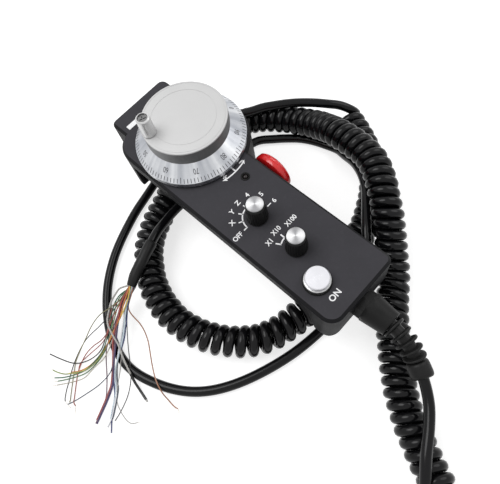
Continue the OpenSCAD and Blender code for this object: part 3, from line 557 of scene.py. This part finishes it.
def relief_radius(t):
    radius = RELIEF_CORE
    for rib_middle, rib_top in RELIEF_RIBS:
        edge = max(0.0, 1 - (abs(t - rib_middle) / RIB_HALF) ** 4)
        radius = max(radius, RELIEF_CORE + (rib_top - RELIEF_CORE) * edge ** 0.5)
    return radius * MM


relief_t = np.linspace(0, 1, 220)
relief = tube("bend_relief_ribs", [bend(t) for t in relief_t],
              np.array([relief_radius(t) for t in relief_t]), 32, relief_rubber, "pendant", "cord_rubber")
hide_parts("bend_relief")
COLLAR = [(-18.4, -146.3, 35.9), (-19.5, -148.5, 35), (-22, -153.5, 33.4), (-23.3, -155.6, 32.9)]
collar_line = smooth_route([on_table(*p) for p in COLLAR], 0.3 * MM)
collar_at = np.linspace(-1, 1, len(collar_line))
collar_radii = (5.4 + 1.9 * (1 - np.abs(collar_at) ** 5) ** 0.5) * MM
collar = tube("strain_collar", collar_line, collar_radii, 40, relief_rubber, "pendant", "cord_rubber")
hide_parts("relief_collar")

# ---------------------------------------------------------------- loose wires
WIRE_COLOURS = {
    "tan": (0.36, 0.17, 0.1), "black": (0.008, 0.008, 0.008), "grey": (0.36, 0.35, 0.33),
    "slate": (0.03, 0.045, 0.07), "brown": (0.3, 0.09, 0.07), "green": (0.03, 0.12, 0.06),
    "moss": (0.08, 0.17, 0.08), "olive": (0.2, 0.19, 0.1), "lime": (0.26, 0.32, 0.12),
    "cream": (0.5, 0.47, 0.4), "sky": (0.5, 0.58, 0.64), "white": (0.68, 0.68, 0.7),
    "violet": (0.05, 0.035, 0.11), "mauve": (0.14, 0.08, 0.11), "blue": (0.03, 0.04, 0.13),
    "yellow": (0.66, 0.5, 0.12), "orange": (0.5, 0.18, 0.05), "red": (0.3, 0.06, 0.055)}
wire_materials = {
    name: moulded(f"wire_{name}", colour, tuple(c * 1.25 + 0.01 for c in colour), 1500, 0.1, 0.3, 0.38)
    for name, colour in WIRE_COLOURS.items()}
copper = moulded("tinned_copper", (0.3, 0.28, 0.25), (0.2, 0.18, 0.16), 2500, 0.2, 0.3, 0.35, metallic=1.0)

# name, colour, radius, bared length at the tip, route; all in millimetres, two numbers where it lies flat
WIRES = [
    ("pewter", "grey", 0.66, 0, [
        (-104.2, 34.5, 23.2), (-107.6, 37.1, 22.5), (-110.5, 39.2, 21), (-114.5, 39.5, 19),
        (-119.4, 39.5, 16.5), (-123.2, 38.4, 14.8), (-127.7, 35.8, 13.4), (-131.8, 32.9, 12.6),
        (-134.5, 29.4, 12.2), (-136.1, 24.7, 12), (-137.5, 19.1, 12), (-138.9, 12.7, 11.8),
        (-142.1, 5.4, 11), (-144.4, -0.7, 10), (-146.3, -6.4, 8.8), (-149.1, -13.1, 4),
        (-150.6, -19.5, 1.6), (-152.2, -28.4, 1)]),
    ("olive", "olive", 0.38, 7, [
        (-104.6, 34.1, 22.6), (-109.4, 34.3, 20.5), (-115.2, 34.4, 17.5), (-120.4, 35.5, 16.5),
        (-123.6, 36, 16), (-127.2, 37.6, 14), (-131.7, 40.1, 11.4), (-136.8, 41.1, 9.5), (-144.5, 40.6, 7),
        (-153, 38.2, 4.5), (-162.1, 35.3, 2.5), (-169.4, 32, 1.5), (-173.9, 28.4, 1), (-180.2, 22.9),
        (-186.6, 16.9), (-190.4, 13.5), (-192.5, 13.1), (-192.5, 9.6)]),
    ("black_a", "black", 0.36, 6, [
        (-104.9, 34.3, 21.6), (-111.9, 33.9, 18), (-118.8, 34, 15), (-126.1, 34.4, 12.4),
        (-131.9, 34.1, 11.2), (-137, 34.8, 9.8), (-141.7, 35.9, 7.5), (-146.3, 37.4, 5), (-154.3, 38, 3),
        (-162.5, 36, 1.8), (-168.9, 33.5, 1), (-173, 31.3), (-177.4, 28.5), (-182.6, 24.7), (-187.4, 21.4),
        (-192.5, 16.4), (-192.5, 13.9), (-192.5, 11.1)]),
    ("tan_arc", "mauve", 0.4, 0, [
        (-104.4, 33.4, 22.4), (-109.7, 32.8, 19.6), (-116.2, 31.6, 16.2), (-122.6, 29.9, 13.4),
        (-128.8, 27.6, 11.8), (-135.5, 24.5, 10.6), (-142.1, 21.3, 9.6), (-147.5, 18, 8.6),
        (-153.9, 14, 3), (-160.6, 6.7), (-165.6, 1), (-169.9, -3.4), (-175.4, -7), (-181.1, -9.7),
        (-185.4, -11.7)]),
    ("brown", "brown", 0.42, 7, [
        (-104.4, 33.9, 22.4), (-109.1, 33.7, 20), (-113.9, 34.1, 17.6), (-118.5, 35.2, 15.4),
        (-122.7, 35.5, 14.2), (-126.7, 34.8, 13), (-130.7, 32, 11.8), (-135.2, 28.5, 11),
        (-139.4, 26.4, 10), (-144.8, 26.4, 8.4), (-148.7, 28, 6), (-152.2, 29.7, 4), (-158.6, 30.4, 2.5),
        (-164.4, 29.4, 1.5), (-168.8, 27.5, 1), (-172.9, 25.4), (-177.3, 21.6), (-181.9, 17.4),
        (-186.9, 12.7), (-188.8, 11), (-189.2, 8.4), (-191.1, 6.3), (-192.5, 4.1)]),
    ("green_a", "green", 0.43, 5, [
        (-103.4, 31.5, 21.5), (-114.4, 37, 17.5), (-126.1, 34.1, 13), (-138, 26.5, 10),
        (-147.8, 20.6, 8.4), (-159.1, 20.9, 3), (-169.6, 22.5, 1), (-181.4, 29.4), (-190, 37.9)]),
    ("green_b", "moss", 0.43, 4, [
        (-102.4, 31.8, 21), (-114.4, 36.1, 17), (-125.6, 32.6, 12.5), (-138, 24.3, 9.8), (-147.3, 19, 8.2),
        (-159.1, 18.9, 2.5), (-169.4, 20.1, 1.2), (-181.3, 27, 1), (-190.2, 33.9)]),
    ("black_b", "black", 0.43, 0, [
        (-102.4, 32.9, 21), (-115.4, 37.5, 16.5), (-130.1, 32.3, 12), (-141, 25.6, 9.6),
        (-150.3, 21.6, 7.4), (-160.3, 24.5, 2.5), (-167.9, 29.1, 1.2), (-171.4, 32.8, 1.8),
        (-175.9, 42.5, 0.9), (-179.3, 51.9)]),
    ("lime", "lime", 0.43, 3, [
        (-102.9, 31.2, 21), (-115.5, 34.1, 16.5), (-129.1, 29.4, 11), (-141.9, 21.4, 9), (-155.1, 19.3, 4),
        (-167.9, 21.3, 2.2), (-176, 27.6, 1), (-180.6, 31.6), (-183.8, 37.3), (-185.5, 42.5)]),
    ("cream", "cream", 0.4, 4, [
        (-102.9, 31.2, 21), (-116, 32.6, 16), (-129.1, 27.2, 10.8), (-142.4, 18.7, 8.8), (-152.8, 16.1, 6),
        (-161.9, 17.6, 3), (-172.8, 18.7), (-180.6, 23.2), (-192.5, 32.3)]),
    ("slate_thin", "slate", 0.37, 0, [
        (-102.5, 30.7, 21), (-115.5, 31.1, 15.5), (-129.7, 24.6, 10.4), (-143.8, 13.8, 8.6),
        (-155.6, 6.1, 4), (-167.4, 6.4, 1), (-178.9, 8.9), (-188.8, 11.8), (-192.5, 13.5)]),
    ("violet", "violet", 0.52, 0, [
        (-103.9, 33.2, 21.6), (-109.7, 32.1, 18.6), (-116.8, 30.4, 15.2), (-123.6, 27.9, 12.8),
        (-129.6, 24.1, 11.4), (-135.1, 19.7, 10.4), (-140.4, 15.1, 9.6), (-146.7, 9.6, 8.8),
        (-152.7, 5.8, 4.5), (-157.9, 2, 1.2), (-162.1, -1.6), (-167.5, -4.7), (-173.1, -7.3),
        (-178.5, -9.5), (-183.7, -11.6), (-186.4, -12.6)]),
    ("mauve", "mauve", 0.55, 0, [
        (-103.9, 33.5, 22), (-109.4, 32.5, 19.6), (-116.7, 31, 16.4), (-123.5, 28.6, 13.8),
        (-129.5, 24.8, 12.2), (-135, 20.5, 11), (-140.3, 15.9, 10), (-146.6, 10.5, 9), (-152.6, 6.7, 5),
        (-157.9, 3, 1.2), (-162.6, -0.9), (-168.2, -3.9), (-173.8, -6.6), (-179.2, -8.8), (-184.4, -10.9),
        (-186.7, -11.8)]),
    ("blue", "blue", 0.5, 0, [
        (-102.5, 31.5, 21.8), (-107.7, 29.7, 19.6), (-112.3, 28.4, 17), (-116.7, 26.2, 14.8),
        (-120.1, 23.8, 13), (-123.5, 21, 12), (-127.3, 18.2, 11.2), (-132, 14.3, 10.4), (-137, 11.2, 9.8),
        (-144.8, 7.5, 8.8), (-151.8, 4.7, 5), (-157.5, 1.6, 1.2), (-161.3, -2.4), (-164.9, -7.1),
        (-169.4, -11.3), (-173.2, -14.4), (-177.4, -18.5), (-183.2, -24.7)]),
    ("slate", "slate", 0.5, 0, [
        (-103.2, 32, 21.4), (-108.3, 30.5, 18.8), (-112.9, 29, 16.2), (-117.4, 27.1, 14),
        (-121.2, 24.2, 12.4), (-125.2, 21.4, 11.4), (-129.8, 18, 10.6), (-135, 14.3, 10),
        (-140.9, 10.3, 9.4), (-147.7, 5.9, 7), (-153.3, 2.9, 2.4), (-157.5, -1.5), (-160.7, -6.2),
        (-165.8, -10.6), (-170.6, -14.3), (-175.5, -17.7), (-179.3, -19.3)]),
    ("grey_loop", "white", 0.55, 0, [
        (-103.4, 32.4, 22), (-109.6, 30.8, 18.6), (-116.2, 28.6, 15.4), (-121, 25.8, 13.4),
        (-125.5, 22.4, 12.2), (-130, 19.1, 11.2), (-135, 15.2, 10.4), (-141.2, 10.6, 9.6),
        (-148, 6.2, 7.4), (-154.3, 2.9, 2.4), (-158.4, -1.5), (-161.8, -6), (-166.8, -10.5),
        (-172.3, -14.4), (-177.1, -17.9), (-182.7, -19.9)]),
    ("black_c", "black", 0.34, 0, [
        (-100.4, 31, 22.5), (-112, 29.8, 17), (-122.7, 21.6, 11.8), (-134.4, 8.4, 9.3),
        (-141.6, -1.3, 8.2), (-149, -8.6, 4), (-158.6, -14.6, 0.9), (-169.1, -18.9), (-176.4, -20.7)]),
    ("grey_thin", "grey", 0.31, 3, [
        (-101.5, 30.2, 22), (-114, 29.4, 15.5), (-126.7, 21.2, 10.4), (-139.8, 9.3, 8.8), (-151.5, 0.2, 5),
        (-162.6, -7.1, 1), (-168, -14.2), (-170, -29.6), (-164.8, -34.3)]),
    ("sky", "sky", 0.62, 0, [
        (-103, 32.2, 22.8), (-108.1, 30.8, 20), (-113.3, 28.8, 17.4), (-117.5, 26.6, 15.4),
        (-121.5, 23.9, 13.8), (-125.3, 20.9, 12.6), (-129, 17.7, 11.8), (-133.5, 14.4, 11),
        (-138.8, 10.9, 10.2), (-146.1, 6.8, 8.6), (-152.9, 4, 4.4), (-158, -0.1, 1.6), (-161.3, -4.4, 0.9),
        (-166.4, -9), (-171.8, -13), (-177.6, -17.4)]),
    ("orange", "tan", 0.44, 5, [
        (-102.9, 31.7, 22.3), (-107.2, 29.7, 20), (-112.1, 28.2, 17), (-115.4, 26.7, 15),
        (-117.1, 24.3, 13), (-117.7, 21.9, 11), (-118, 19, 9), (-118.2, 15.3, 7), (-119.3, 10.6, 5),
        (-121, 6.3, 3.6), (-123.5, 1.3, 3), (-129.3, -8.7, 5), (-132.6, -15.6, 8.6), (-137.3, -24.5, 9),
        (-140.2, -32.6, 7), (-141.4, -38.7, 1.5), (-141.6, -45.4, 0.6), (-140.9, -48.2), (-142.7, -50.6)]),
    ("red_thin", "red", 0.36, 0, [
        (-104.4, 33.4, 22.8), (-108.6, 33.2, 21), (-113.9, 32.8, 18.8), (-118.7, 32.1, 16.4),
        (-123.5, 31.6, 14.6), (-128.8, 30.4, 13), (-134.2, 28.2, 11.6), (-139.2, 25.5, 10.4),
        (-144.7, 24.6, 8.6), (-150.2, 26, 5), (-159, 28, 2.2), (-166.4, 29, 1), (-169.7, 28), (-172.8, 25)]),
    ("yellow", "yellow", 0.5, 0, [
        (-103.8, 33.2, 23.6), (-106.6, 31.6, 22), (-110.5, 29.5, 20), (-114.7, 28.1, 18),
        (-119.4, 26.9, 16), (-124.2, 25.8, 14.2), (-129.5, 24.6, 12.6), (-134.6, 23.2, 11.4),
        (-139, 21.8, 10.6), (-143.1, 20.4, 9.4), (-148.2, 20, 6.6), (-155, 20.6, 3), (-161.5, 21.3, 1.6),
        (-167.7, 22.4, 1), (-173.4, 25), (-178.5, 29.9)]),
    ("red", "orange", 0.55, 0, [
        (-104.4, 33.7, 23.4), (-107.7, 32.3, 21.8), (-112.4, 30.9, 19.4), (-117.1, 29.3, 17.2),
        (-120.9, 27.6, 15.6), (-124.9, 25.7, 14.2), (-128.9, 24.9, 13), (-132.9, 23.3, 12),
        (-137.2, 21.8, 11.2), (-141.6, 20.7, 10), (-146.7, 20.7, 7.4), (-152.9, 21.2, 3.6),
        (-159.3, 21.4, 1.8), (-165.7, 22.4, 1), (-171.6, 24.8), (-176.3, 28.6)]),
    ("white", "red", 0.6, 0, [
        (-104.4, 33.5, 23), (-108.1, 33, 21.4), (-112.9, 32.6, 19.2), (-117.5, 31.5, 17.2),
        (-121.4, 29.3, 15.6), (-125.3, 27, 14.2), (-129.4, 25, 13), (-133.6, 22.9, 12),
        (-137.6, 20.1, 11.2), (-141.8, 16.5, 10.2), (-147, 11, 8.8), (-152.9, 7.1, 4.6),
        (-158.3, 3.4, 1.2), (-163, -0.5), (-168.6, -3.5), (-174.3, -6.1), (-179.6, -8.4), (-184.8, -10.5)]),
]
WIRE_STEP = 1.8 * MM
BLACK_END, BLACK_END_R = 25 * MM, 0.95 * MM  # the black sleeve over the pewter wire's end


def cut_at(line, distance_from_end):
    """The number of points to keep when a length is taken off a line's end."""
    left = np.cumsum(np.linalg.norm(np.diff(line[::-1], axis=0), axis=1))
    return len(line) - 1 - int(np.searchsorted(left, distance_from_end))


for label, colour, radius, bared, points in WIRES:
    line = covered = smooth_route([on_table(*p) for p in points], WIRE_STEP)
    if bared:
        keep = cut_at(line, bared * MM)
        covered = line[:keep + 1]
        tube(f"tip_{label}", line[keep:], 0.5 * radius * MM, 6, copper, "pendant", "wire_mix")
    if label == "pewter":
        keep = cut_at(line, BLACK_END)
        tube("pewter_end_sleeve", line[keep:-1], BLACK_END_R, 10, wire_materials["black"],
                           "pendant", "wire_mix")
    piece = tube(f"wire_{label}", covered, radius * MM, 8, wire_materials[colour], "pendant", "wire_mix")
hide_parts("wires_down")
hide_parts("wires_left")
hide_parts("wire_right")

# ---------------------------------------------------------------- mushroom head
HEAD_PROFILE = [
    (4.6, 20.4), (13.4, 20.4), (14.8, 21), (15.3, 22), (15.3, 23.9), (14.7, 24.3), (14.55, 24.7),
    (14.7, 25.1), (15, 25.5), (14.9, 26.1), (14.2, 26.7), (12.4, 27.6), (9.6, 28.5), (6.2, 29),
    (3, 29.2), (0, 29.25), (0, 24.75), (4.6, 24.75)]
STOP_PLACE = on_face(0, -54.5, -18)
head = lathe("mushroom_head", HEAD_PROFILE, STOP_PLACE, stop_red, "stop_mushroom", "stop_red", 96, "X")
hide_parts("stop_head")

# ---------------------------------------------------------------- repeats round an axis
def turned_copies_tree():
    """Copies of a piece turned round an axis parallel to Z, in even steps."""
    tree = bpy.data.node_groups.new("turned_copies", "GeometryNodeTree")
    for label, kind in (("Geometry", "Geometry"), ("Count", "Int"), ("Step", "Float"), ("Centre", "Vector"),
                        ("Material", "Material")):
        tree.interface.new_socket(label, in_out="INPUT", socket_type=f"NodeSocket{kind}")
    tree.interface.new_socket("Geometry", in_out="OUTPUT", socket_type="NodeSocketGeometry")
    source, sink = tree.nodes.new("NodeGroupInput"), tree.nodes.new("NodeGroupOutput")
    line, index = tree.nodes.new("GeometryNodeMeshLine"), tree.nodes.new("GeometryNodeInputIndex")
    line.inputs["Offset"].default_value = (0, 0, 0)
    back, place = tree.nodes.new("ShaderNodeVectorMath"), tree.nodes.new("GeometryNodeTransform")
    back.operation = "SCALE"
    back.inputs["Scale"].default_value = -1
    turn = math_node(tree, "MULTIPLY", index.outputs[0], source.outputs["Step"])
    row = tree.nodes.new("ShaderNodeCombineXYZ")
    spread_out = tree.nodes.new("GeometryNodeInstanceOnPoints")
    real = tree.nodes.new("GeometryNodeRealizeInstances")
    coat = tree.nodes.new("GeometryNodeSetMaterial")
    wire(tree, (source.outputs["Count"], line.inputs["Count"]),
         (source.outputs["Centre"], line.inputs["Start Location"]),
         (source.outputs["Centre"], back.inputs[0]), (back.outputs[0], place.inputs["Translation"]),
         (source.outputs["Geometry"], place.inputs["Geometry"]),
         (line.outputs[0], spread_out.inputs["Points"]),
         (place.outputs[0], spread_out.inputs["Instance"]), (turn, row.inputs[2]),
         (row.outputs[0], spread_out.inputs["Rotation"]), (spread_out.outputs[0], real.inputs[0]),
         (real.outputs[0], coat.inputs["Geometry"]), (source.outputs["Material"], coat.inputs["Material"]),
         (coat.outputs[0], sink.inputs[0]))
    return tree


def made_plain(obj):
    """The mesh that an object shows, once the object itself is removed."""
    bpy.context.view_layer.update()
    mesh = bpy.data.meshes.new_from_object(obj.evaluated_get(bpy.context.evaluated_depsgraph_get()))
    bpy.data.objects.remove(obj)
    return mesh


TURNED_COPIES = turned_copies_tree()


def turned_copies(name, verts, faces, count, step, centre, material, body, slot):
    """A mesh repeated round a centre, made plain."""
    seed = placed(f"{name}_seed", plain_mesh(name, verts, faces))
    modifier = seed.modifiers.new("copies", "NODES")
    modifier.node_group = TURNED_COPIES
    sockets = {s.name: s.identifier for s in TURNED_COPIES.interface.items_tree if s.in_out == "INPUT"}
    modifier[sockets["Count"]] = count
    modifier[sockets["Step"]] = step
    modifier[sockets["Centre"]] = tuple(centre)
    modifier[sockets["Material"]] = material
    obj = placed(name, made_plain(seed))
    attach(obj, body)
    return obj


def prism(outline, place, low, high):
    """A closed prism: an outline in flat coordinates, carried by place(x, y, height)."""
    n = len(outline)
    verts = [place(x, y, low) for x, y in outline] + [place(x, y, high) for x, y in outline]
    faces = [tuple(range(n))[::-1], tuple(range(n, 2 * n))]
    faces += [(i, (i + 1) % n, n + (i + 1) % n, n + i) for i in range(n)]
    return verts, faces


def joined(parts):
    verts, faces = [], []
    for more_verts, more_faces in parts:
        base = len(verts)
        verts += more_verts
        faces += [tuple(base + i for i in face) for face in more_faces]
    return verts, faces


def ribbon(points, width, place, low, high):
    """A closed flat strip along a polyline."""
    line = np.array(points, float)
    ahead = np.gradient(line, axis=0)
    ahead /= np.linalg.norm(ahead, axis=1)[:, None]
    side = np.stack([-ahead[:, 1], ahead[:, 0]], axis=1) * width / 2
    n = len(line)
    verts, faces = [], []
    for height in (low, high):
        verts += [place(*p, height) for p in line + side] + [place(*p, height) for p in line - side]
    for i in range(n - 1):
        faces += [(i, n + i, n + i + 1, i + 1)[::-1], (2 * n + i, 3 * n + i, 3 * n + i + 1, 2 * n + i + 1)]
        faces += [(i, i + 1, 2 * n + i + 1, 2 * n + i)[::-1], (n + i, n + i + 1, 3 * n + i + 1, 3 * n + i)]
    faces += [(0, n, 3 * n, 2 * n)[::-1], (n - 1, 2 * n - 1, 4 * n - 1, 3 * n - 1)]
    return verts, [tuple(face[::-1]) for face in faces]


def lettering(text, height, weight=0.0):
    """Flat letters in millimetres, centred on their own middle: points, faces and outline order kept."""
    curve = bpy.data.curves.new(f"text_{text}", "FONT")
    curve.body = text
    curve.size = 1.0
    curve.offset = weight
    curve.resolution_u = 3
    mesh = made_plain(placed(curve.name, curve))
    flat = np.array([v.co[:2] for v in mesh.vertices])
    faces = [tuple(p.vertices) for p in mesh.polygons]
    low, high = flat.min(axis=0), flat.max(axis=0)
    scale = height / (high[1] - low[1])
    return (flat - (low + high) / 2) * scale, faces


def raised(flat, faces, place, low, high):
    """Letters as a thin closed layer between two heights."""
    n = len(flat)
    verts = [place(x, y, high) for x, y in flat] + [place(x, y, low) for x, y in flat]
    edges = {}
    for face in faces:
        for i, a in enumerate(face):
            edges[(a, face[(i + 1) % len(face)])] = True
    sides = [(a, n + a, n + b, b) for a, b in edges if (b, a) not in edges]
    return verts, list(faces) + [tuple(n + i for i in face)[::-1] for face in faces] + sides


# ---------------------------------------------------------------- printing on the control face
def polar(x, y, radius, angle):
    return x + radius * math.cos(math.radians(angle)), y + radius * math.sin(math.radians(angle))


def arc(x, y, radius, start, stop, steps=28):
    return [polar(x, y, radius, angle) for angle in np.linspace(start, stop, steps)]


PRINT_LOW, PRINT_HIGH = -0.03, 0.05


def printed_line(points, width):
    return ribbon(points, width, on_face, PRINT_LOW, PRINT_HIGH)


def printed_text(text, x, y, height, weight=0.01, squeeze=1.0):
    flat, faces = lettering(text, height, weight)
    flat = flat * (squeeze, 1.0) + (x, y)
    return raised(flat, faces, on_face, PRINT_LOW, PRINT_HIGH)


def printed_shape(outline):
    return prism(outline, on_face, PRINT_LOW, PRINT_HIGH)


AXIS_DIAL, RATIO_DIAL = (-15.5, -78.0), (-15.5, -111.5)  # the two selectors' middles
ARROW_R = 43


def spoke(dial, angle, outer, width):
    return printed_line([polar(*dial, radius, angle) for radius in (9.6, outer)], width)


print_parts = [
    printed_line([(0.5, -42.6), (0.5, -38.4)], 1.1), printed_line(arc(0, 0, ARROW_R, -100.5, -78.5), 0.95),
    printed_shape([(-10.9, -41.2), (-8.3, -43.9), (-7.9, -41.3)]),
    printed_shape([(11.0, -41.1), (8.1, -41.2), (8.6, -43.8)]),
    printed_line([(-9.2, -40.2), (-5.8, -40.2)], 0.75), printed_line([(-7.5, -41.8), (-7.5, -38.6)], 0.75),
    printed_line([(6.6, -40.4), (10.0, -40.4)], 0.75)]
print_parts += [spoke(AXIS_DIAL, angle, 13, 0.8) for angle in (180, 150, 120, 90, 60, 30, 0)]
print_parts.append(printed_line(arc(*AXIS_DIAL, 10, 180, 90), 0.9))
print_parts += [spoke(RATIO_DIAL, angle, 13.5, 0.9) for angle in (120, 90, 60)]
print_parts.append(printed_line(arc(*RATIO_DIAL, 10, 120, 90, 3), 0.9))
for text, x, y in (("OFF", -34.4, -77.9), ("X", -29.6, -68.2), ("Y", -23.8, -62.6), ("Z", -16.6, -60.8),
                   ("4", -8.1, -61.6), ("5", -1.6, -68.4), ("6", 0.4, -78.2)):
    print_parts.append(printed_text(text, x, y, 3.5, 0.02, 0.92 if len(text) > 1 else 1.05))
for text, x, y in (("X1", -24.4, -96.1), ("X10", -15.4, -93.9), ("X100", -3.9, -96.4)):
    print_parts.append(printed_text(text, x, y, 3.5, 0.02, 0.9))
print_parts.append(printed_text("ON", -24.6, -149.5, 4.2, 0.02))
add_mesh("panel_printing", *joined(print_parts), print_white, "pendant", "white_label", smooth=False)

# ---------------------------------------------------------------- dial scale
CONE_FOOT_R, CONE_FOOT_Z, CONE_TOP_R, CONE_TOP_Z = 40.0, 5.0, 29.8, 14.5
SCALE_LOW, SCALE_HIGH = -0.02, 0.04  # the scale's print, below and above the cone's surface
TICK_OUTER, TICK_WIDTH, NUMBER_R = 39.6, 0.45, 34.1
DEGREES_PER_STEP = 3.6
CONE_LENGTH = math.hypot(CONE_FOOT_R - CONE_TOP_R, CONE_TOP_Z - CONE_FOOT_Z)
CONE_RUN, CONE_RISE = (CONE_FOOT_R - CONE_TOP_R) / CONE_LENGTH, (CONE_TOP_Z - CONE_FOOT_Z) / CONE_LENGTH


def cone_place(angle, radius, lift):
    """A point on the dial's cone: angle in radians, radius and lift off the surface in millimetres."""
    r = radius + lift * CONE_RISE
    z = CONE_FOOT_Z + (CONE_FOOT_R - radius) * CONE_RISE / CONE_RUN + lift * CONE_RUN
    return on_face(r * math.cos(angle), r * math.sin(angle), z)


def tick(angle, inner, outer, width):
    half = width / 2
    corners = [(angle - half / inner, inner), (angle - half / outer, outer), (angle + half / outer, outer),
               (angle + half / inner, inner)]
    return prism(corners, cone_place, SCALE_LOW, SCALE_HIGH)


ticks = [tick(math.radians(DEGREES_PER_STEP * k), 36.5 if k == 0 else 37.3, TICK_OUTER, TICK_WIDTH)
         for k in range(10)]
turned_copies("dial_ticks", *joined(ticks), 10, math.radians(36), on_face(0, 0), scale_grey, "handwheel",
              "dark_metal")


def dial_number(number):
    flat, faces = lettering(str(number), 4.1, 0.004)
    flat = flat * (0.68, 1.0)
    middle_angle = math.radians(270 + (number - 80) * DEGREES_PER_STEP)

    def carry(x, y, lift):
        radius = NUMBER_R + y * CONE_RUN
        return cone_place(middle_angle - x / radius, radius, lift)
    return raised(flat, faces, carry, SCALE_LOW, SCALE_HIGH)


add_mesh("dial_numbers", *joined([dial_number(n) for n in range(0, 100, 10)]), scale_grey, "handwheel",
         "dark_metal", smooth=False)

# ---------------------------------------------------------------- floor and light
FLOOR = 3  # half the floor's side, in metres
FLOOR_GLOW = 0.72
ROOM_LIGHT = 0.45  # the sky's strength where it isn't looked at
corners = ((-FLOOR, -FLOOR), (FLOOR, -FLOOR), (FLOOR, FLOOR), (-FLOOR, FLOOR))
floor_mesh = plain_mesh("floor", [(x, y, TABLE_Z) for x, y in corners], [(0, 1, 2, 3)])
floor = placed("floor", floor_mesh)
floor_paint = bpy.data.materials.new("floor_paint")
floor_paint.use_nodes = True
tree = floor_paint.node_tree
tree.nodes.clear()
diffuse, glow = tree.nodes.new("ShaderNodeBsdfDiffuse"), tree.nodes.new("ShaderNodeEmission")
diffuse.inputs["Color"].default_value = (0.5, 0.5, 0.5, 1)
seen = tree.nodes.new("ShaderNodeLightPath")
looked_at = math_node(tree, "MAXIMUM", seen.outputs["Is Camera Ray"], seen.outputs["Is Glossy Ray"])
wire(tree, (math_node(tree, "MULTIPLY", looked_at, FLOOR_GLOW), glow.inputs["Strength"]))
both, out = tree.nodes.new("ShaderNodeAddShader"), tree.nodes.new("ShaderNodeOutputMaterial")
wire(tree, (diffuse.outputs[0], both.inputs[0]), (glow.outputs[0], both.inputs[1]),
     (both.outputs[0], out.inputs[0]))
floor_mesh.materials.append(floor_paint)

world = bpy.data.worlds.new("studio")
bpy.context.scene.world = world
world.use_nodes = True
tree = world.node_tree
sky = tree.nodes["Background"]
sky.inputs["Color"].default_value = (1, 1, 1, 1)
seen = tree.nodes.new("ShaderNodeLightPath")
level = tree.nodes.new("ShaderNodeMapRange")
level.inputs["To Min"].default_value = ROOM_LIGHT
level.inputs["To Max"].default_value = 1.0
direct = math_node(tree, "MAXIMUM", seen.outputs["Is Camera Ray"], seen.outputs["Is Transmission Ray"])
wire(tree, (math_node(tree, "MAXIMUM", direct, seen.outputs["Is Glossy Ray"]), level.inputs["Value"]),
     (level.outputs["Result"], sky.inputs["Strength"]))


def softbox(name, place, aim, size, power):
    data = bpy.data.lights.new(name, "AREA")
    data.shape, data.size, data.energy = "DISK", size, power
    lamp = placed(name, data)
    lamp.location = place
    lamp.rotation_mode = "QUATERNION"
    lamp.rotation_quaternion = (Vector(aim) - Vector(place)).to_track_quat("-Z", "Y")


softbox("key_light", (-0.3, 0.4, 1.0), (0, 0, 0), 0.8, 7.6)
softbox("fill_light", (0.8, -0.3, 0.8), (0, 0, 0), 0.9, 4)

bpy.context.scene.view_settings.view_transform = "Standard"
